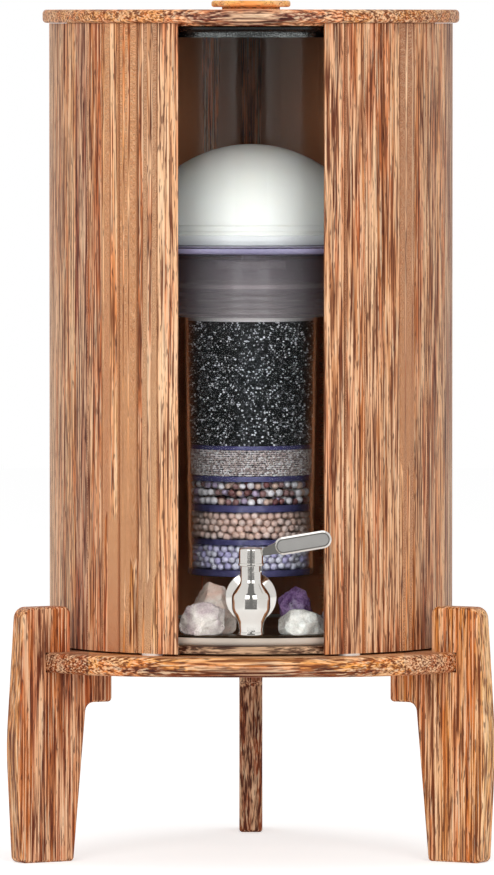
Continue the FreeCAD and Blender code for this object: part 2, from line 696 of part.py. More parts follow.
def make_tap_body():
    """Return the tap's casting: urn-shaped barrel and spout, neck, flange and hollow shank."""
    barrel = turned([
        (0, -SPOUT_DROP, 0),
        (SPOUT_LIP_R, -SPOUT_DROP, FINE_EDGE),
        (SPOUT_LIP_R, SPOUT_LIP_T - SPOUT_DROP, FINE_EDGE),
        (SPOUT_R, SPOUT_LIP_T + SPOUT_LIP_SLOPE - SPOUT_DROP, FINE_EDGE),
        (SPOUT_R + SPOUT_FLARE, SPOUT_FLARE_Z, SPOUT_FLARE_ROUND),
        (BARREL_R, BARREL_LOW_Z, BARREL_LOW_ROUND),
        (BARREL_R, BARREL_HIGH_Z, BARREL_HIGH_ROUND),
        (BARREL_NECK_R, BARREL_NECK_Z, BARREL_NECK_ROUND),
        (BARREL_NECK_R, BARREL_TOP, FINE_EDGE),
        (0, BARREL_TOP, 0),
    ])
    barrel = on_tap_axis(barrel)
    neck = facing_front(disc(TAP_NECK_R, 0, FLANGE_Y - TAP_Y), TAP_Y, TAP_Z)
    flange = turned([
        (0, 0, 0),
        (FLANGE_R, 0, FINE_EDGE),
        (FLANGE_R, FLANGE_DISC_T, FINE_EDGE),
        (FLANGE_CROWN_R, FLANGE_DISC_T + FLANGE_DOME_T, FLANGE_CROWN_ROUND),
        (0, FLANGE_DISC_T + FLANGE_DOME_T, 0),
    ])
    flange.rotate(CENTRE, Vector(1, 0, 0), 90)
    flange.translate(Vector(0, FLANGE_Y, TAP_Z))
    shank_end = OUTER_SEAL_T + GLASS_T + SHANK_LENGTH
    shank = facing_front(disc(SHANK_R, 0, shank_end), FLANGE_Y, TAP_Z)
    body = barrel.fuse([neck, flange, shank]).removeSplitter()
    water_way = facing_front(disc(SHANK_BORE_R, 0, FLANGE_Y - TAP_Y + shank_end), TAP_Y, TAP_Z)
    spout_bore = on_tap_axis(disc(SPOUT_BORE_R, -SPOUT_DROP, SPOUT_DROP + VALVE_BOTTOM))
    chamber = on_tap_axis(disc(VALVE_R + RUNNING_GAP, VALVE_BOTTOM, BARREL_TOP - VALVE_BOTTOM))
    notch_z = BARREL_TOP - STOP_NOTCH_H
    notch = ring(BARREL_NECK_R - STOP_NOTCH_DEPTH, BARREL_R, notch_z, BARREL_TOP)
    sector = Part.makeCylinder(BARREL_R, STOP_NOTCH_H, Vector(0, 0, notch_z), UP, STOP_NOTCH_ANGLE)
    sector.rotate(CENTRE, UP, -90)
    return body.cut([water_way, spout_bore, chamber, on_tap_axis(notch.common(sector))])


def make_valve_plug():
    """Return the turning plug with o-ring grooves and an angled water port, shut at rest."""
    plug = disc(VALVE_R, VALVE_BOTTOM, BARREL_TOP - VALVE_BOTTOM)
    port = disc(VALVE_PORT_R, VALVE_BOTTOM, VALVE_SIDE_PORT_R / 2.0 - VALVE_BOTTOM)
    side_port = Part.makeCylinder(VALVE_SIDE_PORT_R, VALVE_R * 2.0, CENTRE, Vector(-1, 0, 0))
    grooves = []
    for level in O_RING_LEVELS:
        bottom_z = level - O_RING_WIRE_R
        groove_r = VALVE_R - 2.0 * O_RING_WIRE_R
        grooves.append(ring(groove_r, BARREL_NECK_R, bottom_z, level + O_RING_WIRE_R))
    return on_tap_axis(plug.cut([port, side_port] + grooves))


def make_o_rings():
    """Return the plug's o-rings, flattened to their grooves."""
    rings = []
    for level in O_RING_LEVELS:
        bottom_z = level - O_RING_WIRE_R + RUNNING_GAP
        inner_r = VALVE_R - 2.0 * O_RING_WIRE_R + RUNNING_GAP
        rings.append(on_tap_axis(ring(inner_r, VALVE_R, bottom_z, level + O_RING_WIRE_R - RUNNING_GAP)))
    return Part.Compound(rings)


def make_cap():
    """Return the turning cap on top of the barrel, with its bright bottom ring and stop lug."""
    cap_z = BARREL_TOP + RUNNING_GAP
    cap = turned([
        (0, cap_z, 0),
        (CAP_RING_R, cap_z, FINE_EDGE),
        (CAP_RING_R, cap_z + CAP_RING_T, FINE_EDGE),
        (CAP_R, cap_z + CAP_RING_T, 0),
        (CAP_R, cap_z + CAP_RING_T + CAP_H, CAP_ROUND),
        (0, cap_z + CAP_RING_T + CAP_H, 0),
    ])
    lug_r = BARREL_NECK_R - STOP_NOTCH_DEPTH / 2.0
    lug = Part.makeCylinder(STOP_NOTCH_DEPTH / 2.0 - RUNNING_GAP, STOP_NOTCH_H / 2.0)
    lug.translate(polar(lug_r, STOP_NOTCH_ANGLE - STOP_LUG_MARGIN, cap_z - STOP_NOTCH_H / 2.0))
    return on_tap_axis(cap.fuse(lug))


def make_lever():
    """Return the lever along +X: a tapered arm and a tilted paddle with a sunk front face."""
    right = Vector(LEVER_SPAN, 0, 0)
    up = Vector(0, 0, LEVER_HALF_W)
    back = Vector(LEVER_HALF_W, 0, 0)
    face = Part.Face(Part.Wire([
        Part.LineSegment(up, right + up).toShape(),
        Part.Arc(right + up, right + back, right - up).toShape(),
        Part.LineSegment(right - up, CENTRE - up).toShape(),
        Part.Arc(CENTRE - up, CENTRE - back, up).toShape(),
    ]))
    face.translate(Vector(0, -LEVER_T / 2.0, 0))
    paddle = face.extrude(Vector(0, LEVER_T, 0))
    rims = [edge for edge in paddle.Edges if abs(abs(edge.CenterOfMass.y) - LEVER_T / 2.0) < 1e-6]
    paddle = paddle.makeChamfer(LEVER_BEVEL, rims)
    recess_r = LEVER_HALF_W - LEVER_RECESS_MARGIN
    forward = Vector(0, 1, 0)
    recess = Part.makeBox(LEVER_SPAN, LEVER_RECESS_T, 2.0 * recess_r, Vector(0, 0, -recess_r))
    ends = [Part.makeCylinder(recess_r, LEVER_RECESS_T, point, forward) for point in (CENTRE, right)]
    recess = recess.fuse(ends).removeSplitter()
    recess.translate(Vector(0, -LEVER_T / 2.0, 0))
    paddle = paddle.cut(recess)
    paddle.rotate(CENTRE, forward, -LEVER_TILT)
    cap_top = BARREL_TOP + RUNNING_GAP + CAP_RING_T + CAP_H
    root_z = cap_top + LEVER_RISE
    paddle.translate(Vector(LEVER_ROOT_X, 0, root_z))
    arm_top = cap_top - CAP_ROUND
    arm = plank([
        (CAP_R * 0.7, arm_top - ARM_H, 0),
        (LEVER_ROOT_X, root_z - LEVER_HALF_W * 0.8, 0),
        (LEVER_ROOT_X, root_z + LEVER_HALF_W * 0.8, 0),
        (CAP_R * 0.7, arm_top, 0),
    ], LEVER_T - LEVER_BEVEL)
    arm = arm.cut(disc(CAP_R + RUNNING_GAP, 0, root_z))
    return on_tap_axis(paddle.fuse(arm).removeSplitter())


def make_lid():
    """Return the lid: a rounded disc with a step underneath and a countersunk screw hole."""
    step_z = LID_Z - LID_STEP_T
    lid = turned([
        (SCREW_R + SLIP_GAP, step_z, 0),
        (CASING_INNER_R - LID_STEP_PLAY, step_z, FINE_EDGE),
        (CASING_INNER_R - LID_STEP_PLAY, LID_Z, 0),
        (LID_R, LID_Z, LID_ROUND),
        (LID_R, LID_Z + LID_T, LID_ROUND),
        (SCREW_R + SLIP_GAP, LID_Z + LID_T, 0),
    ])
    sink = Part.makeCone(SCREW_HEAD_R + SLIP_GAP, SCREW_R + SLIP_GAP, SCREW_HEAD_H, Vector(0, 0, step_z))
    return lid.cut(sink)


def make_knob():
    """Return the knob: a rounded disc on a short neck, drilled for its screw."""
    top_z = KNOB_Z + KNOB_T
    knob = turned([
        (0, LID_Z + LID_T, 0),
        (KNOB_NECK_R, LID_Z + LID_T, 0),
        (KNOB_NECK_R, KNOB_Z, 0),
        (KNOB_R, KNOB_Z, KNOB_ROUND),
        (KNOB_R, top_z, KNOB_ROUND),
        (0, top_z, 0),
    ])
    return knob.cut(disc(SCREW_R + RUNNING_GAP, LID_Z, top_z - SCREW_TIP_H - LID_Z))


def make_knob_screw():
    """Return the countersunk screw that holds the knob from under the lid."""
    head_z = LID_Z - LID_STEP_T
    tip_z = KNOB_Z + KNOB_T - SCREW_TIP_H * 1.2
    return turned([
        (0, head_z, 0),
        (SCREW_HEAD_R, head_z, 0),
        (SCREW_R, head_z + SCREW_HEAD_H, 0),
        (SCREW_R, tip_z - SCREW_TIP_H, 0),
        (0, tip_z, 0),
    ])


def make_stone(length, width, height):
    """Return a faceted stone on z = 0, cut from a block by planes spread on a golden spiral."""
    sizes = (length / 2.0, width / 2.0, height / (1.0 + STONE_SINK))
    stone = Part.makeBox(length, width, height, Vector(-length / 2.0, -width / 2.0, -sizes[2] * STONE_SINK))
    reach = 2.0 * max(length, width, height)
    for facet in range(STONE_FACETS):
        tilt = 1.0 - (2.0 * facet + 1.0) / STONE_FACETS
        turn = facet * math.pi * (3.0 - math.sqrt(5.0))
        level = math.sqrt(1.0 - tilt * tilt)
        normal = Vector(level * math.cos(turn), level * math.sin(turn), tilt)
        spans = (sizes[0] * normal.x, sizes[1] * normal.y, sizes[2] * normal.z)
        support = math.sqrt(sum(span * span for span in spans))
        depth = support * (0.86 + 0.09 * math.sin(5.3 * facet + length))
        slab = Part.makeBox(2.0 * reach, 2.0 * reach, reach, Vector(-reach, -reach, 0))
        slab.Placement = FreeCAD.Placement(normal * depth, FreeCAD.Rotation(UP, normal)) * slab.Placement
        stone = stone.cut(slab)
    stone.translate(Vector(0, 0, -stone.BoundBox.ZMin))
    return stone


def make_stones():
    """Return the loose stones by name, each resting on the vessel's floor."""
    stones = {}
    for name, (length, width, height, x, forward, turn) in STONES.items():
        stone = make_stone(length, width, height)
        stone.rotate(CENTRE, UP, turn)
        stone.translate(Vector(x, -forward, VESSEL_FLOOR_Z))
        stones[name] = stone
    return stones


def build():
    """Return every piece by its name, about the vessel's axis."""
    nodes = {"stand_shelf": make_shelf()}
    leg = make_leg()
    for name, azimuth in LEG_AZIMUTHS.items():
        nodes[name] = turned_to(leg, azimuth)
    nodes.update(make_panels())
    nodes["casing_pads"] = make_pads()
    nodes["casing_floor"] = disc(CASING_INNER_R - SLIP_GAP, CASING_Z, FLOOR_T)
    nodes["glass_vessel"] = make_vessel()
    nodes["rim_gasket"] = make_gasket()
    nodes["upper_tank"] = make_tank()
    nodes["ceramic_dome"] = make_dome()
    nodes["dome_base"] = make_dome_base()
    nodes["dome_washer"] = ring(STEM_R + SLIP_GAP, WASHER_R, TANK_FLOOR_Z, DOME_BASE_Z)
    nodes["tank_washer"] = ring(STEM_R + SLIP_GAP, WASHER_R, COLLAR_TOP_Z, TANK_BOTTOM_Z)
    nodes["stem_nut"] = make_stem_nut()
    nodes["screw_collar"] = make_collar()
    seal_r = COLLAR_R - COLLAR_WALL_T - SLIP_GAP
    nodes["collar_seal"] = ring(seal_r - NECK_WALL_T, seal_r, NECK_TOP_Z, NECK_TOP_Z + COLLAR_SEAL_T)
    nodes["cartridge_housing"] = make_housing()
    nodes["cartridge_base"] = make_cartridge_base()
    nodes.update(make_layers())
    nodes.update(make_stones())
    nodes["tap_body"] = make_tap_body()
    nodes["tap_outer_seal"] = make_outer_seal()
    nodes["tap_inner_seal"] = make_inner_seal()
    nodes["tap_shank_nut"] = make_shank_nut()
    nodes["tap_valve_plug"] = make_valve_plug()
    nodes["tap_o_rings"] = make_o_rings()
    nodes["tap_cap"] = make_cap()
    nodes["tap_lever"] = make_lever()
    nodes["lid"] = make_lid()
    nodes["lid_knob"] = make_knob()
    nodes["knob_screw"] = make_knob_screw()
    return nodes


os.makedirs("parts", exist_ok=True)
pieces = build()
rear_y = pieces["leg_rear"].optimalBoundingBox(False).YMax
front_y = pieces["tap_body"].optimalBoundingBox(False).YMin
to_origin = Vector(0, -(rear_y + front_y) / 2.0, 0)
print("moved along Y by", round(to_origin.y, 4))
for node_name, piece in pieces.items():
    placed = piece.copy()
    placed.translate(to_origin)
    placed.exportStep(os.path.join("parts", node_name + ".step"))
    print(node_name, "valid", placed.isValid(), "solids", len(placed.Solids))
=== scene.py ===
"""Looks of a gravity water filter.

A glass vessel with a steel tap stands in a slatted wooden casing on a three-legged stand. A clear
tank with a ceramic dome hangs in its rim, and a cartridge with layers of media hangs under the tank.
Every size is in metres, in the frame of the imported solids.
"""

import logging
import math
import random
from collections.abc import Sequence
from dataclasses import dataclass, field
from enum import Enum

import bmesh
import bpy
import numpy as np
from mathutils import Matrix, Vector, noise

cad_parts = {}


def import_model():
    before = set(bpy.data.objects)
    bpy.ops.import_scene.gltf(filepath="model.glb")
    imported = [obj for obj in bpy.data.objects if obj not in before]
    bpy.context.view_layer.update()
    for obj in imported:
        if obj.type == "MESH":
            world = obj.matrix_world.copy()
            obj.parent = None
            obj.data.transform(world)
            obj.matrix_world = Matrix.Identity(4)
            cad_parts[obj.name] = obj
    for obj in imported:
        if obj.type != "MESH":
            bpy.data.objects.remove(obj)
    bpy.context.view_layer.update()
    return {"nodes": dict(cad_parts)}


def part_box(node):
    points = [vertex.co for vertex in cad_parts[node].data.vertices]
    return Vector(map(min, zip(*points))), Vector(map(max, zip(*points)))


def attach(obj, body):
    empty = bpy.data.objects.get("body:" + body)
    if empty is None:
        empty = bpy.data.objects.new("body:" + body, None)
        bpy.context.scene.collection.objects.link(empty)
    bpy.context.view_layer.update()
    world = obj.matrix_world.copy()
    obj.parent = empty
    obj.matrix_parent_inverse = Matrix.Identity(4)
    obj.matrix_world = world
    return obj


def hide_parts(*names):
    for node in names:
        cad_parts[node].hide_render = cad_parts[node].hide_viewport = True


LOG = logging.getLogger("water_filter")
IMAGE_HEIGHT = 875
MM = 0.001
FULL_TURN = 6.28
ARC_STEPS = 6
SHARP_DEGREES = 32.0

Colour = tuple[float, float, float]
Profile = list[tuple[float, float]]
Socket = bpy.types.NodeSocket
WHITE = (1.0, 1.0, 1.0, 1.0)


def srgb(red: int, green: int, blue: int) -> Colour:
    """Return the linear colour of an sRGB colour given in 0 to 255."""
    shares = [value / 255.0 for value in (red, green, blue)]
    return tuple(share / 12.92 if share <= 0.04045 else ((share + 0.055) / 1.055) ** 2.4 for share in shares)


def opaque(colour: Colour) -> tuple[float, float, float, float]:
    """Return the colour with an alpha of one."""
    return (*colour, 1.0)


def grey(level: float) -> tuple[float, float, float, float]:
    """Return the grey of a linear level."""
    return level, level, level, 1.0


def scaled(colour: Colour, factor: float) -> Colour:
    """Return the colour made lighter or darker by a factor, kept at most white."""
    return tuple(min(1.0, channel * factor) for channel in colour)


class Graph:
    """The node graph of a material or of the world, with short calls that add and join nodes."""

    def __init__(self, name: str, world: bool = False) -> None:
        """Start an empty graph in a new material, or in a new world.

        Args:
            name: The material's or the world's name.
            world: Whether the graph is a world's.
        """
        self.owner = (bpy.data.worlds if world else bpy.data.materials).new(name)
        self.owner.use_nodes = True
        self.tree = self.owner.node_tree
        self.tree.nodes.clear()

    def link(self, value: Socket | float | Sequence[float], target: Socket) -> None:
        """Join a socket to an input, or set the input to a value.

        Args:
            value: The socket or the value.
            target: The input.
        """
        if isinstance(value, Socket):
            self.tree.links.new(value, target)
        else:
            target.default_value = value

    def add(self, kind: str, inputs: dict | None = None, **settings: object) -> bpy.types.Node:
        """Add a node.

        Args:
            kind: The node's type name.
            inputs: Values or sockets by input name or index.
            **settings: Properties to set on the node.

        Returns:
            The new node.
        """
        node = self.tree.nodes.new(kind)
        for key, value in settings.items():
            setattr(node, key, value)
        for key, value in (inputs or {}).items():
            self.link(value, node.inputs[key])
        return node

    def place(self) -> Socket:
        """Return the point on the piece, in the piece's own coordinates."""
        return self.add("ShaderNodeTexCoord").outputs["Object"]

    def attribute(self, name: str, output: str = "Color") -> Socket:
        """Return a value that the mesh holds under a name."""
        return self.add("ShaderNodeAttribute", attribute_name=name).outputs[output]

    def stretched(self, vector: Socket, scale: Sequence[float]) -> Socket:
        """Return the vector scaled along each axis."""
        return self.add("ShaderNodeMapping", {"Vector": vector, "Scale": scale}).outputs["Vector"]

    def vector_math(self, operation: str, first: Socket, second: Socket | Sequence[float]) -> Socket:
        """Return a vector operation on two vectors."""
        node = self.add("ShaderNodeVectorMath", {0: first, 1: second}, operation=operation)
        return node.outputs["Vector"]

    def noise(self, vector: Socket, scale: float, detail: float = 3.0, distortion: float = 0.0) -> Socket:
        """Return a noise value from 0 to 1; its scale is in waves per metre."""
        inputs = {"Vector": vector, "Scale": scale, "Detail": detail, "Distortion": distortion}
        return self.add("ShaderNodeTexNoise", inputs).outputs["Fac"]

    def ramp(self, value: Socket, low: float, high: float, start: float = 0.0, end: float = 1.0) -> Socket:
        """Return the value mapped from low..high to start..end, clamped."""
        inputs = {"Value": value, "From Min": low, "From Max": high, "To Min": start, "To Max": end}
        return self.add("ShaderNodeMapRange", inputs, clamp=True).outputs["Result"]

    def math(self, operation: str, first: Socket | float, second: Socket | float = 0.0) -> Socket:
        """Return an operation on two numbers."""
        return self.add("ShaderNodeMath", {0: first, 1: second}, operation=operation).outputs["Value"]

    def mix(self, share: Socket | float, first: Socket | Colour, second: Socket | Colour,
            blend: str = "MIX") -> Socket:
        """Return a mix of two colours.

        Args:
            share: Share of the second colour.
            first: The first colour.
            second: The second colour.
            blend: How the second colour is laid on the first.

        Returns:
            The mixed colour.
        """
        colours = [opaque(c) if isinstance(c, tuple) else c for c in (first, second)]
        node = self.add("ShaderNodeMix", data_type="RGBA", blend_type=blend, clamp_factor=True)
        for index, value in ((0, share), (6, colours[0]), (7, colours[1])):
            self.link(value, node.inputs[index])
        return node.outputs[2]

    def bump(self, height: Socket, depth: float, strength: float = 1.0) -> Socket:
        """Return a normal raised by a height that is worth a depth in metres."""
        inputs = {"Height": height, "Distance": depth, "Strength": strength}
        return self.add("ShaderNodeBump", inputs).outputs["Normal"]

    def principled(self, inputs: dict) -> Socket:
        """Return a Principled shader with the given inputs."""
        return self.add("ShaderNodeBsdfPrincipled", inputs).outputs["BSDF"]

    def opaque_finish(self, colour: Socket, grain: Socket, roughness: tuple[float, float], normal: Socket,
                      more: dict | None = None) -> bpy.types.Material:
        """Join an opaque surface whose roughness follows its grain, and return the material."""
        inputs = {"Base Color": colour, "Roughness": self.ramp(grain, 0.3, 0.7, *roughness), "Normal": normal}
        return self.finish(self.principled(inputs | (more or {})))

    def blend(self, share: Socket, first: Socket, second: Socket) -> Socket:
        """Return a mix of two shaders."""
        return self.add("ShaderNodeMixShader", {0: share, 1: first, 2: second}).outputs["Shader"]

    def seen(self) -> Socket:
        """Tell rays that look at a surface from light that falls on it.

        Returns:
            1 where it is looked at, straight, in a mirror or through glass, and else 0.
        """
        path = self.add("ShaderNodeLightPath").outputs
        share = self.math("MAXIMUM", path["Is Camera Ray"], path["Is Glossy Ray"])
        return self.math("MAXIMUM", share, path["Is Transmission Ray"])

    def finish(self, shader: Socket) -> bpy.types.Material:
        """Join the shader to the output and return the material."""
        self.add("ShaderNodeOutputMaterial", {"Surface": shader})
        return self.owner

    def finish_clear(self, shader: Socket, tint: Colour) -> bpy.types.Material:
        """Join a clear shader that lets the lamps' rays through with a tint.

        Args:
            shader: The clear shader.
            tint: Colour of the lamps' light behind it.

        Returns:
            The material.
        """
        lamps = self.add("ShaderNodeLightPath").outputs["Is Shadow Ray"]
        open_air = self.add("ShaderNodeBsdfTransparent", {"Color": opaque(tint)}).outputs["BSDF"]
        return self.finish(self.blend(lamps, shader, open_air))


class GrainWay(Enum):
    """The way a board's grain runs."""

    ALONG_X = (0.05, 1.0, 1.0)
    ALONG_Z = (1.0, 1.0, 0.05)


@dataclass(frozen=True)
class Figure:
    """A dark band of heartwood that bends across a board's edge.

    Attributes:
        colour: Colour of the heartwood.
        half_width: Half the length of the band along X.
        middle: Height of the band's middle, as a share of the board's thickness.
        half_height: Half the band's height, as such a share.
        bend: How far the band's ends rise or sink, as such a share.
    """

    colour: Colour
    half_width: float
    middle: float
    half_height: float
    bend: float


@dataclass(frozen=True)
class Wood:
    """Oiled hardwood with bands, dark streaks, fibres and pores along the grain.

    Attributes:
        name: The material's name.
        grain: The way the grain runs.
        colour: The wood's own colour, or None where the mesh holds a tone for each stave.
        boards: Right border along X and colour of each glued board, from left to right.
        span: Lowest and highest z of the piece, for its figure.
        figure: The heartwood in the middle board, if any.
        painted_light_side: Lighter colour of the faces that turn away from the filter's axis, if they differ; it is
            painted light on the sides that the lamps catch.
        contrast: How strong the streaks are.
        roughness: Roughness of the oiled surface.
        warmth: What the oil does to every tone.
        deep: What the dark streaks do to the tone.
        ember: What the red streaks do to the tone.
        pale: Colour that the pale bands lean to.
        painted_glint: Colour laid on some fibres as a painted highlight, which stands for their shine.
        pore: Colour of the pores.
    """

    name: str
    grain: GrainWay
    colour: Colour | None = None
    boards: tuple[tuple[float, Colour], ...] = ()
    span: tuple[float, float] = (0.0, 1.0)
    figure: Figure | None = None
    painted_light_side: Colour | None = None
    contrast: float = 1.0
    roughness: float = 0.5
    warmth: Colour = (1.2, 0.98, 0.66)
    deep: Colour = (0.20, 0.11, 0.08)
    ember: Colour = (0.95, 0.60, 0.42)
    pale: Colour = (1.0, 0.66, 0.40)
    painted_glint: Colour = (1.0, 0.70, 0.45)
    pore: Colour = srgb(70, 30, 16)

    def build(self, axis: Vector) -> bpy.types.Material:
        """Return the wood's material.

        Args:
            axis: A point on the filter's axis.

        Returns:
            The material.
        """
        graph = Graph(self.name)
        place = graph.place()
        if self.colour is None:
            tone = graph.attribute("tone")
            place = graph.vector_math("ADD", place, graph.attribute("seed", "Vector"))
        else:
            tone = graph.mix(0.0, self.colour, self.colour)
        if self.boards:
            tone = self._boards(graph, place, tone)
        if self.figure:
            tone = self._figured(graph, place, tone)
        # Painted light: the faces that turn away from the axis get a lighter colour, standing for the light that
        # falls on them.
        if self.painted_light_side:
            tone = graph.mix(self._outward(graph, place, axis), tone, self.painted_light_side)
        along = graph.stretched(place, self.grain.value)
        fine = graph.stretched(along, [0.4 if s < 1.0 else 1.0 for s in self.grain.value])
        bands = graph.noise(along, 85.0, 3.0, 0.7)
        embers = graph.noise(graph.stretched(along, (1.3, 1.3, 1.3)), 110.0, 2.0, 0.5)
        streaks = graph.noise(along, 380.0, 4.0, 1.0)
        fibres = graph.noise(fine, 760.0, 3.0, 0.3)
        pores = graph.noise(graph.stretched(place, self._pore_scale()), 900.0, 1.0)
        tone = colour = graph.mix(1.0, tone, self.warmth, "MULTIPLY")
        deep = graph.mix(1.0, tone, self.deep, "MULTIPLY")
        ember = graph.mix(1.0, tone, self.ember, "MULTIPLY")
        pale = graph.mix(0.55, tone, self.pale)
        for mask, low, high, share, laid in (
            (bands, 0.42, 0.58, 0.95, pale),
            (embers, 0.48, 0.62, 0.75, ember),
            (streaks, 0.50, 0.64, self.contrast, deep),
            (fibres, 0.50, 0.62, 0.95 * self.contrast, deep),
        ):
            colour = graph.mix(graph.ramp(mask, low, high, 0.0, share), colour, laid)
        # Painted highlight: some fibres are mixed towards a pale colour that stands for their shine.
        painted_glints = graph.mix(0.7, colour, self.painted_glint)
        colour = graph.mix(graph.ramp(fibres, 0.48, 0.38, 0.0, 0.85 * self.contrast), colour, painted_glints)
        pore_mask = graph.ramp(pores, 0.60, 0.68)
        colour = graph.mix(graph.math("MULTIPLY", pore_mask, 0.7), colour, self.pore)
        height = graph.math("SUBTRACT", graph.math("MULTIPLY", fibres, -0.6), pore_mask)
        return graph.finish(graph.principled({
            "Base Color": colour,
            "Roughness": graph.ramp(streaks, 0.2, 0.8, self.roughness - 0.06, self.roughness + 0.1),
            "Specular IOR Level": 0.22,
            "Normal": graph.bump(height, 0.00015, 0.5),
        }))

    def _pore_scale(self) -> list[float]:
        """Return how the pores, short dashes along the grain, are stretched."""
        return [0.11 if scale < 1.0 else 1.0 for scale in self.grain.value]

    def _boards(self, graph: Graph, place: Socket, tone: Socket) -> Socket:
        """Change the tone from board to board, with a dark line at each seam.

        Args:
            graph: The wood's graph.
            place: The point on the piece.
            tone: The wood's tone.

        Returns:
            The changed tone.
        """
        across = graph.add("ShaderNodeSeparateXYZ", {0: place}).outputs["X"]
        for border, colour in reversed(self.boards):
            tone = graph.mix(graph.math("LESS_THAN", across, border), tone, colour)
        for border, _ in self.boards:
            near = graph.math("ABSOLUTE", graph.math("SUBTRACT", across, border))
            tone = graph.mix(graph.ramp(near, 0.0008, 0.0002, 0.0, 0.6), tone, srgb(92, 52, 30))
        return tone

    def _figured(self, graph: Graph, place: Socket, tone: Socket) -> Socket:
        """Lay the bent dark band of heartwood over the tone.

        Args:
            graph: The wood's graph.
            place: The point on the piece.
            tone: The wood's tone.

        Returns:
            The changed tone.
        """
        parts = graph.add("ShaderNodeSeparateXYZ", {0: place}).outputs
        low, high = self.span
        height = graph.math("DIVIDE", graph.math("SUBTRACT", parts["Z"], low), high - low)
        out = graph.math("DIVIDE", parts["X"], self.figure.half_width)
        squared = graph.math("MULTIPLY", out, out)
        middle = graph.math("ADD", self.figure.middle, graph.math("MULTIPLY", squared, self.figure.bend))
        half = graph.math("MULTIPLY", graph.math("SUBTRACT", 1.0, squared), self.figure.half_height)
        wave = graph.math("MULTIPLY", graph.math("SUBTRACT", graph.noise(place, 60.0, 3.0, 1.0), 0.5), 0.9)
        apart = graph.math("ABSOLUTE", graph.math("SUBTRACT", height, graph.math("ADD", middle, wave)))
        inside = graph.ramp(graph.math("SUBTRACT", half, apart), -0.1, 0.14)
        return graph.mix(inside, tone, self.figure.colour)

    def _outward(self, graph: Graph, place: Socket, axis: Vector) -> Socket:
        """Find the faces that turn away from the filter's axis, where light is painted.

        Args:
            graph: The wood's graph.
            place: The point on the piece.
            axis: A point on the axis.

        Returns:
            1 on such faces, and 0 elsewhere.
        """
        level = graph.vector_math("SUBTRACT", place, tuple(axis))
        level = graph.vector_math("MULTIPLY", level, (1.0, 1.0, 0.0))
        way = graph.add("ShaderNodeVectorMath", {0: level}, operation="NORMALIZE").outputs["Vector"]
        normal = graph.add("ShaderNodeNewGeometry").outputs["Normal"]
        facing = graph.add("ShaderNodeVectorMath", {0: way, 1: normal}, operation="DOT_PRODUCT").outputs["Value"]
        return graph.ramp(facing, 0.55, 0.8)


@dataclass(frozen=True)
class ClearMaterial:
    """Glass or clear plastic.

    Attributes:
        name: The material's name.
        tint: Colour of what passes through a surface.
        ior: Refraction index.
        roughness: Roughness of the surface.
        share: Share of the light that passes.
        gleam: Strength of the mirror image where the surface is seen straight on.
    """

    name: str
    tint: Colour = (1.0, 1.0, 1.0)
    ior: float = 1.45
    roughness: float = 0.0
    share: float = 1.0
    gleam: float = 0.08

    def build(self) -> bpy.types.Material:
        """Build the clear material.

        Returns:
            The material.
        """
        graph = Graph(self.name)
        smears = graph.noise(graph.place(), 60.0, 3.0)
        inputs = {
            "Base Color": opaque(self.tint),
            "Roughness": graph.ramp(smears, 0.4, 0.7, self.roughness, self.roughness + 0.015),
            "IOR": self.ior,
            "Transmission Weight": self.share,
            "Specular Tint": (self.gleam, self.gleam, self.gleam, 1.0),
        }
        return graph.finish_clear(graph.principled(inputs), self.tint)


@dataclass(frozen=True)
class Steel:
    """Stainless steel with fine marks.

    Attributes:
        name: The material's name.
        colour: Colour of the metal.
        roughness: Roughness between the marks.
        brushed: How strong the marks are.
    """

    name: str
    colour: Colour
    roughness: float
    brushed: float

    def build(self) -> bpy.types.Material:
        """Build the metal's material.

        Returns:
            The material.
        """
        graph = Graph(self.name)
        place = graph.place()
        marks = graph.noise(graph.stretched(place, (1.0, 1.0, 14.0)), 260.0, 4.0)
        cloud = graph.noise(place, 90.0, 2.0)
        shade = graph.mix(graph.ramp(cloud, 0.3, 0.7, 0.0, 0.25), self.colour, scaled(self.colour, 0.82))
        roughness = (self.roughness * 0.8, self.roughness * 1.3)
        normal = graph.bump(marks, 0.00002 * self.brushed, 0.5)
        return graph.opaque_finish(shade, marks, roughness, normal, {"Metallic": 1.0})


@dataclass(frozen=True)
class Moulded:
    """Rubber, silicone, felt or solid plastic with a fine texture.

    Attributes:
        name: The material's name.
        colour: The surface's colour.
        roughness: Roughness of the surface.
        texture_scale: Waves per metre of the fine texture.
        texture_depth: Depth of the texture in metres.
        sheen: Weight of the soft sheen.
    """

    name: str
    colour: Colour
    roughness: float = 0.5
    texture_scale: float = 900.0
    texture_depth: float = 0.00005
    sheen: float = 0.0

    def build(self) -> bpy.types.Material:
        """Build the material.

        Returns:
            The material.
        """
        graph = Graph(self.name)
        place = graph.place()
        grain = graph.noise(place, self.texture_scale, 3.0)
        cloud = graph.noise(place, 40.0, 2.0)
        colour = graph.mix(graph.ramp(cloud, 0.35, 0.65, 0.0, 0.3), self.colour, scaled(self.colour, 0.78))
        roughness = (self.roughness * 0.85, min(1.0, self.roughness * 1.15))
        normal = graph.bump(grain, self.texture_depth, 0.6)
        return graph.opaque_finish(colour, grain, roughness, normal, {"Sheen Weight": self.sheen})


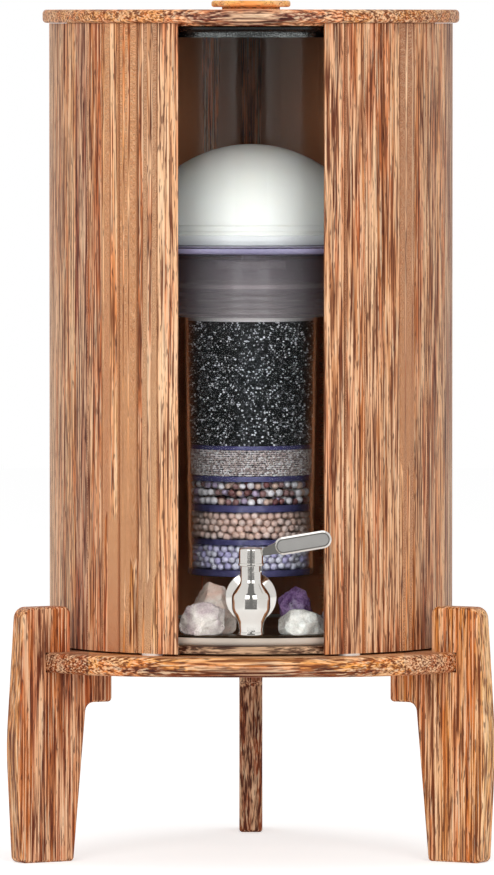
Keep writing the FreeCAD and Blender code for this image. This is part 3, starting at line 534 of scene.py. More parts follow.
@dataclass(frozen=True)
class Ceramic:
    """Fine unglazed ceramic of the dome, matt and very slightly pitted.

    Attributes:
        name: The material's name.
        colour: Colour of the ceramic.
        cloud: Colour of its darker clouds.
    """

    name: str = "dome_ceramic"
    colour: Colour = srgb(240, 237, 232)
    cloud: Colour = srgb(226, 221, 214)

    def build(self) -> bpy.types.Material:
        """Build the ceramic's material.

        Returns:
            The material.
        """
        graph = Graph(self.name)
        place = graph.place()
        pits = graph.noise(place, 1800.0, 2.0)
        cloud = graph.noise(place, 30.0, 3.0)
        colour = graph.mix(graph.ramp(cloud, 0.3, 0.7, 0.0, 0.35), self.colour, self.cloud)
        return graph.opaque_finish(colour, pits, (0.55, 0.72), graph.bump(pits, 0.00004, 0.5), {
            "Subsurface Weight": 0.1,
            "Subsurface Radius": (0.004, 0.003, 0.002),
            "Subsurface Scale": 0.5,
        })


@dataclass(frozen=True)
class Grains:
    """Beads, sand or carbon granules, each with the tone that the mesh holds for it.

    Attributes:
        name: The material's name.
        roughness: Roughness of a grain.
        specular: Strength of the shine.
        pit_scale: Waves per metre of the pits.
        mottle: How strong the spots on a grain are.
    """

    name: str
    roughness: float = 0.45
    specular: float = 0.5
    pit_scale: float = 700.0
    mottle: float = 0.25

    def build(self) -> bpy.types.Material:
        """Build the grains' material.

        Returns:
            The material.
        """
        graph = Graph(self.name)
        place = graph.place()
        tone = graph.attribute("tone")
        pits = graph.noise(place, self.pit_scale, 3.0)
        darker = graph.mix(1.0, tone, (0.62, 0.58, 0.58), "MULTIPLY")
        colour = graph.mix(graph.ramp(pits, 0.45, 0.7, 0.0, self.mottle * 2.0), tone, darker)
        roughness = (self.roughness * 0.8, self.roughness * 1.2)
        normal = graph.bump(pits, 0.0002, 0.4)
        return graph.opaque_finish(colour, pits, roughness, normal, {"Specular IOR Level": self.specular})


@dataclass(frozen=True)
class Mineral:
    """Rough stone or crystal.

    Attributes:
        name: The material's name.
        colour: The stone's main colour.
        vein: Colour of its veins and clouds.
        clear: Share of the light that passes.
        roughness: Roughness of the faces.
    """

    name: str
    colour: Colour
    vein: Colour
    clear: float = 0.0
    roughness: float = 0.3

    def build(self) -> bpy.types.Material:
        """Build the stone's material.

        Returns:
            The material.
        """
        graph = Graph(self.name)
        place = graph.place()
        clouds = graph.noise(place, 70.0, 5.0, 1.2)
        specks = graph.noise(place, 620.0, 3.0)
        colour = graph.mix(graph.ramp(clouds, 0.38, 0.64), self.colour, self.vein)
        colour = graph.mix(graph.ramp(specks, 0.55, 0.75, 0.0, 0.5), colour, scaled(self.vein, 0.6))
        roughness = (self.roughness * 0.7, self.roughness * 1.5)
        normal = graph.bump(graph.math("ADD", specks, clouds), 0.0006, 0.5)
        more = {"Transmission Weight": self.clear, "IOR": 1.54}
        return graph.opaque_finish(colour, specks, roughness, normal, more)


PLAIN_FINISHES = (
    ClearMaterial("vessel_glass", srgb(249, 252, 251), ior=1.47, gleam=0.05),
    ClearMaterial("vessel_glass_edge", srgb(250, 236, 220), ior=1.47, roughness=0.2, share=0.25, gleam=0.5),
    ClearMaterial("clear_plastic", srgb(251, 251, 252), ior=1.4, gleam=0.05),
    ClearMaterial("tank_floor_plastic", srgb(168, 158, 190), ior=1.4, roughness=0.15, share=0.35, gleam=0.4),
    ClearMaterial("dome_base_plastic", srgb(242, 240, 240), ior=1.4, roughness=0.12, share=0.3, gleam=0.5),
    ClearMaterial("collar_plastic", srgb(206, 196, 200), ior=1.42, roughness=0.12, share=0.75, gleam=0.3),
    ClearMaterial("blue_clear_plastic", srgb(249, 249, 253), ior=1.25, gleam=0.04),
    ClearMaterial("blue_plastic", srgb(92, 88, 134), ior=1.4, roughness=0.2, share=0.3, gleam=1.2),
    Moulded("white_plastic", srgb(225, 222, 216), 0.9, texture_scale=1400.0, texture_depth=0.0002, sheen=0.3),
    Moulded("gasket_rubber", srgb(4, 4, 4), 0.28),
    Moulded("silicone", srgb(224, 222, 216), 0.5),
    Moulded("pad_felt", srgb(232, 226, 218), 0.9, texture_scale=1500.0, texture_depth=0.0001, sheen=0.3),
    Ceramic(),
    Steel("polished_steel", srgb(214, 210, 204), roughness=0.07, brushed=0.6),
    Steel("lever_steel", srgb(158, 156, 153), roughness=0.42, brushed=4.0),
    Grains("carbon_granules", 0.35, specular=0.5, pit_scale=900.0, mottle=0.3),
    Grains("mineral_sand", 0.5, specular=0.4, pit_scale=1500.0),
    Grains("mixed_beads", 0.35, specular=0.5, pit_scale=500.0, mottle=0.3),
    Grains("beige_beads", 0.45, specular=0.45, pit_scale=600.0, mottle=0.25),
    Grains("lavender_beads", 0.4, specular=0.5, pit_scale=600.0, mottle=0.2),
    Mineral("rose_quartz", srgb(236, 196, 180), srgb(250, 232, 222), clear=0.1, roughness=0.3),
    Mineral("druzy_quartz", srgb(214, 190, 194), srgb(246, 232, 226), clear=0.1, roughness=0.25),
    Mineral("clear_quartz", srgb(252, 244, 238), srgb(255, 252, 248), clear=0.15, roughness=0.25),
    Mineral("amethyst", srgb(96, 62, 112), srgb(160, 124, 176), clear=0.15, roughness=0.25),
    Mineral("grey_agate", srgb(120, 98, 116), srgb(190, 170, 176), clear=0.05, roughness=0.4),
)


def build_finishes(axis: Vector) -> dict[str, bpy.types.Material]:
    """Build every finish of the filter once.

    Args:
        axis: A point on the filter's axis.

    Returns:
        The materials by name.
    """
    woods = (
        Wood("stave_wood", GrainWay.ALONG_Z),
        Wood("leg_front_left_wood", GrainWay.ALONG_Z, srgb(186, 116, 70), painted_light_side=srgb(216, 160, 112)),
        Wood("leg_front_right_wood", GrainWay.ALONG_Z, srgb(206, 144, 84), painted_light_side=srgb(236, 196, 146)),
        # The rear leg's colour is partly its own board and partly painted shade: it is darker for the shade behind
        # the casing.
        Wood("leg_rear_wood", GrainWay.ALONG_Z, srgb(150, 92, 62), painted_light_side=srgb(186, 128, 86)),
        Wood("shelf_wood", GrainWay.ALONG_X, srgb(186, 122, 70),
             boards=((-0.122, srgb(170, 106, 62)), (0.115, srgb(224, 164, 94))),
             span=(bottom_of("stand_shelf"), top_of("stand_shelf")),
             figure=Figure(srgb(124, 72, 40), 0.112, 0.12, 0.42, 0.25)),
        Wood("floor_wood", GrainWay.ALONG_X, srgb(70, 34, 12), contrast=0.7),
        Wood("lid_wood", GrainWay.ALONG_X, srgb(196, 140, 88),
             boards=((-0.065, srgb(214, 158, 108)), (0.0685, srgb(228, 176, 146))),
             span=(bottom_of("lid"), top_of("lid")),
             figure=Figure(srgb(122, 62, 50), 0.066, 0.42, 0.42, 0.32)),
        Wood("knob_wood", GrainWay.ALONG_X, srgb(250, 212, 152), contrast=0.3),
    )
    built = {wood.name: wood.build(axis) for wood in woods}
    return built | {finish.name: finish.build() for finish in PLAIN_FINISHES}


def rounded(corners: Sequence[tuple[float, float, float]]) -> Profile:
    """Return a closed outline through corners, each rounded by an arc.

    Args:
        corners: Radius, height and rounding of each corner.

    Returns:
        The outline's points.
    """
    points: Profile = []
    count = len(corners)
    for index, (x, z, radius) in enumerate(corners):
        corner = Vector((x, z))
        if not radius:
            points.append((x, z))
            continue
        back = (Vector(corners[index - 1][:2]) - corner).normalized()
        ahead = (Vector(corners[(index + 1) % count][:2]) - corner).normalized()
        half = back.angle(ahead) / 2.0
        reach = radius / math.tan(half)
        centre = corner + (back + ahead).normalized() * (radius / math.sin(half))
        start = corner + back * reach - centre
        sweep = start.angle_signed(corner + ahead * reach - centre)
        for step in range(ARC_STEPS + 1):
            turn = -sweep * step / ARC_STEPS
            points.append(tuple(centre + Matrix.Rotation(turn, 2) @ start))
    return points


def shade(mesh: bpy.types.Mesh, sharp_degrees: float = SHARP_DEGREES) -> None:
    """Shade a mesh smooth, but for edges that turn by more than an angle.

    Args:
        mesh: The mesh to shade.
        sharp_degrees: The angle from which an edge stays sharp.
    """
    work = bmesh.new()
    work.from_mesh(mesh)
    bmesh.ops.remove_doubles(work, verts=work.verts, dist=1e-7)
    bmesh.ops.recalc_face_normals(work, faces=work.faces)
    limit = math.radians(sharp_degrees)
    for face in work.faces:
        face.smooth = True
    for edge in work.edges:
        edge.smooth = edge.is_manifold and edge.calc_face_angle(0.0) < limit
    work.to_mesh(mesh)
    work.free()


def steady_normals(mesh: bpy.types.Mesh, sharp_degrees: float) -> None:
    """Let large faces lead the shading at their corners, so that long clear walls bend no light.

    Args:
        mesh: The mesh to shade.
        sharp_degrees: Faces that turn by more than this angle don't share their shading.
    """
    loops = len(mesh.loops)
    verts = np.empty(loops, np.int64)
    mesh.loops.foreach_get("vertex_index", verts)
    corners = np.empty(len(mesh.polygons), np.int64)
    mesh.polygons.foreach_get("loop_total", corners)
    faces = np.repeat(np.arange(len(corners)), corners)
    normals = np.empty(len(corners) * 3)
    mesh.polygons.foreach_get("normal", normals)
    normals = normals.reshape(-1, 3)
    areas = np.empty(len(corners))
    mesh.polygons.foreach_get("area", areas)
    order = np.argsort(verts, kind="stable")
    sizes = np.bincount(verts)
    mates = sizes[verts[order]]
    group_starts = np.cumsum(mates) - mates
    giving = np.repeat((np.cumsum(sizes) - sizes)[verts[order]], mates)
    giving += np.arange(mates.sum()) - np.repeat(group_starts, mates)
    taking_face = np.repeat(faces[order], mates)
    giving_face = faces[order][giving]
    alike = np.einsum("ij,ij->i", normals[taking_face], normals[giving_face])
    weight = areas[giving_face] * (alike > math.cos(math.radians(sharp_degrees)))
    summed = np.add.reduceat(normals[giving_face] * weight[:, None], group_starts)
    summed /= np.maximum(np.linalg.norm(summed, axis=1, keepdims=True), 1e-12)
    result = np.empty((loops, 3))
    result[order] = summed
    mesh.normals_split_custom_set(result.tolist())


def placed(name: str, mesh: bpy.types.Mesh, material: bpy.types.Material) -> bpy.types.Object:
    """Return a new object in the scene that shows a mesh in one finish.

    Args:
        name: The object's name.
        mesh: Its mesh.
        material: Its finish.

    Returns:
        The new object.
    """
    mesh.materials.clear()
    mesh.materials.append(material)
    piece = bpy.data.objects.new(name, mesh)
    bpy.context.scene.collection.objects.link(piece)
    return piece


def mesh_piece(name: str, points: Sequence, faces: Sequence, material: bpy.types.Material,
               sharp_degrees: float = SHARP_DEGREES) -> bpy.types.Object:
    """Return a new object with a shaded mesh.

    Args:
        name: The piece's name.
        points: The vertices' places.
        faces: The faces' vertex numbers.
        material: The piece's finish.
        sharp_degrees: The angle from which an edge stays sharp.

    Returns:
        The new object, in the scene.
    """
    mesh = bpy.data.meshes.new(name)
    mesh.from_pydata([tuple(point) for point in points], [], [tuple(face) for face in faces])
    shade(mesh, sharp_degrees)
    return placed(name, mesh, material)


def lathe(name: str, profile: Profile, material: bpy.types.Material, centre: Vector,
          segments: int) -> bpy.types.Object:
    """Return a piece turned about an upright axis from a closed outline.

    Args:
        name: The piece's name.
        profile: The outline's radii and heights.
        material: The piece's finish.
        centre: A point on the axis; heights count from its z.
        segments: Steps round the axis.

    Returns:
        The new object.
    """
    points = []
    for step in range(segments):
        turn = 2.0 * math.pi * step / segments
        for radius, z in profile:
            points.append((centre.x + radius * math.sin(turn), centre.y - radius * math.cos(turn), centre.z + z))
    count = len(profile)
    faces = []
    for step in range(segments):
        ahead = (step + 1) % segments
        for index in range(count):
            following = (index + 1) % count
            faces.append((step * count + index, ahead * count + index,
                          ahead * count + following, step * count + following))
    piece = mesh_piece(name, points, faces, material)
    steady_normals(piece.data, SHARP_DEGREES)
    return piece


def copy_of(node: bpy.types.Object, name: str, material: bpy.types.Material,
            sharp_degrees: float = 30.0) -> bpy.types.Object:
    """Return a smoothly shaded piece with a solid's own shape.

    Args:
        node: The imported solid's object.
        name: The new piece's name.
        material: The piece's finish.
        sharp_degrees: The angle from which an edge stays sharp.

    Returns:
        The new object.
    """
    mesh = node.data.copy()
    for polygon in mesh.polygons:
        polygon.material_index = 0
    if mesh.has_custom_normals:
        mesh.attributes.remove(mesh.attributes["custom_normal"])
    shade(mesh, sharp_degrees)
    steady_normals(mesh, sharp_degrees)
    return placed(name, mesh, material)


def joined(name: str, pieces: Sequence[bpy.types.Object]) -> bpy.types.Object:
    """Return one object made of several, keeping each one's finish.

    Args:
        name: The joined piece's name.
        pieces: The objects to join; they are used up.

    Returns:
        The joined object.
    """
    bpy.ops.object.select_all(action="DESELECT")
    for piece in pieces:
        piece.select_set(True)
    bpy.context.view_layer.objects.active = pieces[0]
    bpy.ops.object.join()
    pieces[0].name = name
    return pieces[0]


def store_colours(mesh: bpy.types.Mesh, name: str, colours: np.ndarray) -> None:
    """Store one colour for each vertex of a mesh.

    Args:
        mesh: The mesh.
        name: The attribute's name.
        colours: Red, green and blue of each vertex.
    """
    layer = mesh.attributes.new(name, "FLOAT_COLOR", "POINT")
    full = np.ones((len(colours), 4), np.float32)
    full[:, :3] = colours
    layer.data.foreach_set("color", full.ravel())


def ball(subdivisions: int) -> tuple[np.ndarray, np.ndarray]:
    """Return the points and faces of a ball with a radius of one.

    Args:
        subdivisions: How finely the ball is divided.

    Returns:
        The vertices' places and the faces' vertex numbers.
    """
    work = bmesh.new()
    bmesh.ops.create_icosphere(work, subdivisions=subdivisions, radius=1.0)
    points = np.array([vert.co[:] for vert in work.verts])
    faces = np.array([[vert.index for vert in face.verts] for face in work.faces])
    work.free()
    return points, faces


@dataclass(frozen=True)
class Scatter:
    """Grains packed in rings against the inside of a tapered tube.

    Attributes:
        size: Mean width of a grain.
        spread: How much the widths differ, as a share.
        tones: The grains' colours.
        shells: Rings of grains from the wall inwards.
        detail: Subdivisions of a grain's ball.
        roughness: How angular a grain is, as a share of its width.
        flatten: The least height of a grain as a share of its width.
        row_pitch: Height of a row, as a share of a grain's width.
        shell_pitch: Distance from ring to ring, as such a share.
        wall_reach: Distance from the wall to the first ring, as such a share.
        side_pitch: Distance from grain to grain round a ring, as such a share.
    """

    size: float
    spread: float
    tones: tuple[Colour, ...]
    shells: int = 3
    detail: int = 2
    roughness: float = 0.0
    flatten: float = 0.9
    row_pitch: float = 0.9
    shell_pitch: float = 0.86
    wall_reach: float = 0.55
    side_pitch: float = 1.02

    def fill(self, name: str, centre: Vector, low: float, high: float, low_r: float, high_r: float,
             material: bpy.types.Material) -> bpy.types.Object:
        """Return the grains between two heights as one piece.

        Args:
            name: The piece's name; its characters also seed the chance.
            centre: A point on the tube's axis.
            low: The layer's lowest height.
            high: The layer's highest height.
            low_r: The tube's inner radius at the lowest height.
            high_r: The tube's inner radius at the highest height.
            material: The grains' finish.

        Returns:
            The new object.
        """
        chance = random.Random(name)
        template, faces = ball(self.detail)
        places, widths = self._places(chance, low, high, low_r, high_r)
        all_points, all_tones = [], []
        for place, width in zip(places, widths):
            lumps = 1.0 + self.roughness * np.array([[chance.uniform(-1, 1)] for _ in template])
            turn = np.array(Matrix.Rotation(chance.uniform(0, FULL_TURN), 3, "Z")
                            @ Matrix.Rotation(chance.uniform(0, FULL_TURN), 3, "X"))
            squash = np.array([1.0, chance.uniform(self.flatten, 1.0), chance.uniform(self.flatten, 1.0)])
            grain = (template * lumps * squash) @ turn.T * (width / 2.0)
            all_points.append(grain + place)
            tone = np.array(chance.choice(self.tones)) * chance.uniform(0.86, 1.08)
            all_tones.append(np.repeat([np.minimum(tone, 1.0)], len(template), axis=0))
        points = np.concatenate(all_points) + np.array([centre.x, centre.y, 0.0])
        points[:, 2] = np.clip(points[:, 2], low, high)
        count = len(template)
        all_faces = (faces[None, :, :] + count * np.arange(len(places))[:, None, None]).reshape(-1, 3)
        mesh = bpy.data.meshes.new(name)
        mesh.from_pydata(points.tolist(), [], all_faces.tolist())
        mesh.polygons.foreach_set("use_smooth", [self.roughness < 0.1] * len(mesh.polygons))
        store_colours(mesh, "tone", np.concatenate(all_tones))
        return placed(name, mesh, material)

    def _places(self, chance: random.Random, low: float, high: float, low_r: float,
                high_r: float) -> tuple[list[np.ndarray], list[float]]:
        """Place the grains ring by ring.

        Args:
            chance: The layer's own chance.
            low: The layer's lowest height.
            high: The layer's highest height.
            low_r: The tube's inner radius at the lowest height.
            high_r: The tube's inner radius at the highest height.

        Returns:
            The grains' places and widths.
        """
        places, widths = [], []
        rows = max(1, round((high - low) / (self.size * self.row_pitch)))
        pitch = (high - low - self.size) / max(1, rows - 1) if rows > 1 else 0.0
        for shell in range(self.shells):
            for row in range(rows):
                z = low + self.size / 2.0 + row * pitch
                wall_r = low_r + (high_r - low_r) * (z - low) / (high - low)
                radius = wall_r - self.size * (self.wall_reach + self.shell_pitch * shell)
                around = max(6, int(2.0 * math.pi * radius / (self.size * self.side_pitch)))
                shift = 0.5 * ((row + shell) % 2) + chance.uniform(-0.1, 0.1)
                for index in range(around):
                    turn = 2.0 * math.pi * (index + shift + chance.uniform(-0.12, 0.12)) / around
                    near = radius - chance.uniform(0.0, 0.16) * self.size
                    rise = chance.uniform(-0.14, 0.14) * self.size
                    places.append(np.array([near * math.sin(turn), -near * math.cos(turn), z + rise]))
                    widths.append(self.size * (1.0 + self.spread * chance.uniform(-1.0, 0.6)))
        return places, widths


def top_of(node: str) -> float:
    """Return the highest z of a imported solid."""
    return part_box(node)[1].z


def bottom_of(node: str) -> float:
    """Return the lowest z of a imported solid."""
    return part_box(node)[0].z


def middle_of(node: str) -> Vector:
    """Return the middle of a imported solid's box."""
    low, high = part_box(node)
    return (low + high) / 2.0


def clamped(point: Vector, low: Vector, high: Vector) -> Vector:
    """Return the point moved into a box."""
    return Vector(min(max(point[i], low[i]), high[i]) for i in range(3))


def settle(piece: bpy.types.Object, body: str, nodes: Sequence[str]) -> None:
    """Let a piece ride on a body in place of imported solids.

    Args:
        piece: The dressed piece.
        body: The body that carries it.
        nodes: The solids that it stands for.
    """
    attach(piece, body)
    if nodes:
        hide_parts(*nodes)
    LOG.info("%s: %d faces on %s", piece.name, len(piece.data.polygons), body)


@dataclass
class Assembly:
    """What the filter's sub-assemblies share.

    Attributes:
        finishes: The filter's finishes by name.
        nodes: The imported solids' objects by name.
        centre: A point on the filter's axis.
    """

    finishes: dict[str, bpy.types.Material]
    nodes: dict[str, bpy.types.Object]
    centre: Vector

    def dress(self, name: str, body: str, slot: str, finish: str = "",
              sharp_degrees: float = 30.0) -> bpy.types.Object:
        """Dress a solid with a piece of its own shape.

        Args:
            name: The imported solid's name.
            body: The body that carries it.
            slot: The record's material slot of its finish.
            finish: The finish's own name, where it isn't the slot's.
            sharp_degrees: The angle from which an edge stays sharp.

        Returns:
            The new object.
        """
        piece = copy_of(self.nodes[name], "dressed_" + name, self.finishes[finish or slot], sharp_degrees)
        settle(piece, body, [name])
        return piece


class Stand(Assembly):
    """The three legs and the shelf they carry."""

    def build(self) -> None:
        """Dress the legs and the shelf."""
        for name in ("leg_front_left", "leg_front_right", "leg_rear"):
            self.dress(name, "stand", "leg_wood", name + "_wood")
        shelf = copy_of(self.nodes["stand_shelf"], "dressed_shelf", self.finishes["shelf_wood"])
        settle(shelf, "stand", ["stand_shelf"])


@dataclass(frozen=True)
class StaveLook:
    """What one stave looks like.

    Attributes:
        tone: Colour of the stave above its finger joint.
        lower_tone: Colour below the joint, or None for a stave without one.
        joint_z: Height of the joint.
        groove: Width of the gap on the stave's first side.
    """

    tone: Colour
    lower_tone: Colour | None = None
    joint_z: float = 0.3
    groove: float = 0.0


PINK_TAN = srgb(216, 174, 150)
GREY_TAN = srgb(186, 140, 112)
CREAM = srgb(226, 178, 138)
YELLOW_TAN = srgb(228, 176, 128)
ORANGE_BROWN = srgb(188, 124, 84)
MAROON = srgb(140, 72, 50)
PINK_BROWN = srgb(196, 150, 124)
PALE_GREY = srgb(206, 172, 152)
RED_BROWN = srgb(160, 98, 68)
GOLDEN = srgb(206, 144, 90)
TONES = (PINK_TAN, GREY_TAN, CREAM, YELLOW_TAN, ORANGE_BROWN, MAROON, PINK_BROWN, PALE_GREY, RED_BROWN, GOLDEN)


@dataclass
class Casing(Assembly):
    """The ring of upright staves, open at the front, its floor disc and its pads.

    Attributes:
        radius: Outer radius of the ring.
        slot_half_width: Half the slot's width.
        stave_count: Staves round the ring.
        panel_size: Staves in one glued panel.
        thickness: Thickness of a stave.
        chamfer: Width of the fine edges.
        teeth: Teeth of a finger joint.
        tooth_height: Height of a finger joint's teeth.
        groove_depth: Depth of a gap between staves, as a share of its width.
        sharp_degrees: The angle from which a stave's edge stays sharp.
        inner_tone: Colour of the staves inside the ring, painted much lighter than the wood as painted light for the
            inside of the casing.
        looks: What the staves look like that the photograph shows.
    """

    radius: float = 153.0 * MM
    slot_half_width: float = 54.3 * MM
    stave_count: int = 49
    panel_size: int = 7
    thickness: float = 12.0 * MM
    chamfer: float = 0.35 * MM
    teeth: int = 3
    tooth_height: float = 9.0 * MM
    groove_depth: float = 1.6
    sharp_degrees: float = 12.0
    inner_tone: Colour = srgb(255, 152, 104)
    looks: dict[int, StaveLook] = field(default_factory=lambda: {
        0: StaveLook(srgb(184, 128, 92), groove=0.8 * MM),
        1: StaveLook(srgb(186, 126, 86), groove=1.6 * MM),
        2: StaveLook(srgb(188, 132, 96)),
        3: StaveLook(srgb(202, 152, 122), groove=0.7 * MM),
        4: StaveLook(srgb(176, 116, 80), srgb(210, 152, 104), joint_z=0.298, groove=0.8 * MM),
        5: StaveLook(srgb(186, 130, 92), groove=0.7 * MM),
        6: StaveLook(srgb(180, 126, 92)),
        7: StaveLook(srgb(210, 162, 126)),
        8: StaveLook(srgb(158, 112, 86)),
        9: StaveLook(srgb(150, 104, 78)),
        39: StaveLook(PALE_GREY),
        40: StaveLook(srgb(206, 170, 150)),
        41: StaveLook(PINK_BROWN),
        42: StaveLook(srgb(208, 160, 126), groove=0.7 * MM),
        43: StaveLook(srgb(158, 92, 68), groove=0.8 * MM),
        44: StaveLook(srgb(188, 126, 86)),
        45: StaveLook(srgb(226, 176, 134), srgb(206, 134, 84), joint_z=0.262, groove=0.7 * MM),
        46: StaveLook(srgb(220, 168, 126), srgb(204, 148, 96), joint_z=0.226, groove=2.2 * MM),
        47: StaveLook(srgb(184, 138, 110), srgb(226, 190, 156), joint_z=0.216, groove=1.6 * MM),
        48: StaveLook(srgb(218, 175, 150), groove=0.6 * MM),
    })

    def build(self) -> None:
        """Build the staves panel by panel and dress the floor and the pads."""
        chance = random.Random("casing")
        looks = dict(self.looks)
        for index in range(self.stave_count):
            if index not in looks:
                low_tone = chance.choice(TONES) if chance.random() < 0.5 else None
                looks[index] = StaveLook(chance.choice(TONES), low_tone, chance.uniform(0.22, 0.56),
                                         chance.choice((0.0, 0.6, 1.2)) * MM)
        for panel in range(self.stave_count // self.panel_size):
            indices = range(panel * self.panel_size, (panel + 1) * self.panel_size)
            name = "casing_staves_" + str(panel + 1)
            self._panel(name, {index: looks[index] for index in indices}, looks)
        self.dress("casing_floor", "casing", "floor_wood")
        self.dress("casing_pads", "casing", "pad_felt")

    def _panel(self, name: str, panel: dict[int, StaveLook], looks: dict[int, StaveLook]) -> None:
        """Build one panel of staves.

        Args:
            name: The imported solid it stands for.
            panel: The panel's staves by number.
            looks: Every stave by number.
        """
        low, high = bottom_of(name), top_of(name)
        slot_turn = math.asin(self.slot_half_width / self.radius)
        pitch = 2.0 * (math.pi - slot_turn) / self.stave_count
        points: list = []
        faces: list = []
        tones: list = []
        seeds: list = []
        for index, look in panel.items():
            start = slot_turn + index * pitch
            following = looks.get(index + 1, StaveLook(CREAM))
            cuts = [(low, False), (high, False)]
            parts = [look.tone]
            if look.lower_tone:
                cuts = [(low, False), (look.joint_z, True), (high, False)]
                parts = [look.lower_tone, look.tone]
            for number, tone in enumerate(parts):
                section = self._section(start, start + pitch, look.groove, following.groove)
                before = len(points)
                self._segment(points, faces, section, cuts[number], cuts[number + 1])
                added = len(points) - before
                seed = random.Random(index * 10 + number)
                shift = (seed.uniform(-9, 9), seed.uniform(-9, 9), seed.uniform(-9, 9))
                # Painted light: every inner face takes one lighter colour, which stands in for the light that
                # reaches the inside of the ring.
                tones += [tone if self._is_outside(point) else self.inner_tone for point in points[before:]]
                seeds += [shift] * added
        mesh = bpy.data.meshes.new(name)
        mesh.from_pydata(points, [], faces)
        store_colours(mesh, "tone", np.array(tones))
        store_colours(mesh, "seed", np.array(seeds))
        shade(mesh, self.sharp_degrees)
        settle(placed("dressed_" + name, mesh, self.finishes["stave_wood"]), "casing", [name])

    def _is_outside(self, point: tuple) -> bool:
        """Return whether a point lies nearer to the ring's outer face than to its inner one."""
        reach = math.hypot(point[0] - self.centre.x, point[1] - self.centre.y)
        return reach > self.radius - self.thickness / 2.0

    def _section(self, start: float, end: float, first_groove: float, last_groove: float) -> list:
        """Return a stave's cross-section as angle and radius pairs, the outer face in the middle.

        Args:
            start: Angle of the stave's first side.
            end: Angle of its last side.
            first_groove: Width of the gap at the first side.
            last_groove: Width of the gap at the last side.

        Returns:
            The section's corners.
        """
        outer = self.radius
        inner = outer - self.thickness
        first = (self.chamfer + first_groove / 2.0) / outer
        last = (self.chamfer + last_groove / 2.0) / outer
        first_depth = self.chamfer + first_groove * self.groove_depth
        last_depth = self.chamfer + last_groove * self.groove_depth
        columns = self.teeth * 2
        section = [(start, inner), (start, outer - first_depth)]
        for step in range(columns + 1):
            section.append((start + first + (end - last - start - first) * step / columns, outer))
        section += [(end, outer - last_depth), (end, inner)]
        return section

    def _segment(self, points: list, faces: list, section: list, bottom: tuple, top: tuple) -> None:
        """Add one length of a stave.

        Args:
            points: The panel's vertices so far.
            faces: The panel's faces so far.
            section: The stave's cross-section.
            bottom: Height of the lower end and whether it has teeth.
            top: Height of the upper end and whether it has teeth.
        """
        count = len(section)
        base = len(points)
        for level, toothed in (bottom, top):
            for index, (turn, radius) in enumerate(section):
                tooth = self.tooth_height * (0.5 - (index % 2)) if toothed and 2 <= index < count - 2 else 0.0
                across, ahead = radius * math.sin(turn), radius * math.cos(turn)
                if ahead > 0.0 and abs(across) < self.slot_half_width:
                    across = math.copysign(self.slot_half_width, across)
                    ahead = math.sqrt(radius ** 2 - across ** 2)
                points.append((self.centre.x + across, self.centre.y - ahead, level + tooth))
        for index in range(count):
            following = (index + 1) % count
            faces.append((base + index, base + following, base + count + following, base + count + index))
        faces.append(tuple(base + index for index in reversed(range(count))))
        faces.append(tuple(base + count + index for index in range(count)))


@dataclass
class GlassVessel(Assembly):
    """The round glass vessel with its thick floor.

    Attributes:
        wall: Thickness of the glass wall.
        floor: Thickness of the glass floor.
        foot_round: Rounding of the outer lower edge.
        inner_round: Rounding inside, between wall and floor.
        lip_round: Rounding of the rim.
    """

    wall: float = 5.5 * MM
    floor: float = 6.0 * MM
    foot_round: float = 4.0 * MM
    inner_round: float = 3.0 * MM
    lip_round: float = 1.0 * MM

    def build(self) -> None:
        """Build the vessel."""
        low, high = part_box("glass_vessel")
        outer = (high.x - low.x) / 2.0
        inner = outer - self.wall
        profile = rounded([
            (0.0, low.z, 0.0),
            (outer, low.z, self.foot_round),
            (outer, low.z + self.floor, 0.0),
            (outer, high.z, self.lip_round),
            (inner, high.z, self.lip_round),
            (inner, low.z + self.floor, self.inner_round),
            (0.0, low.z + self.floor, 0.0),
        ])
        vessel = lathe("dressed_glass_vessel", profile, self.finishes["vessel_glass"], self.centre, 192)
        vessel.data.materials.append(self.finishes["vessel_glass_edge"])
        for face in vessel.data.polygons:
            reach = math.hypot(face.center.x - self.centre.x, face.center.y - self.centre.y)
            if face.center.z < low.z + self.floor and reach > inner:
                face.material_index = 1
        settle(vessel, "vessel", ["glass_vessel"])


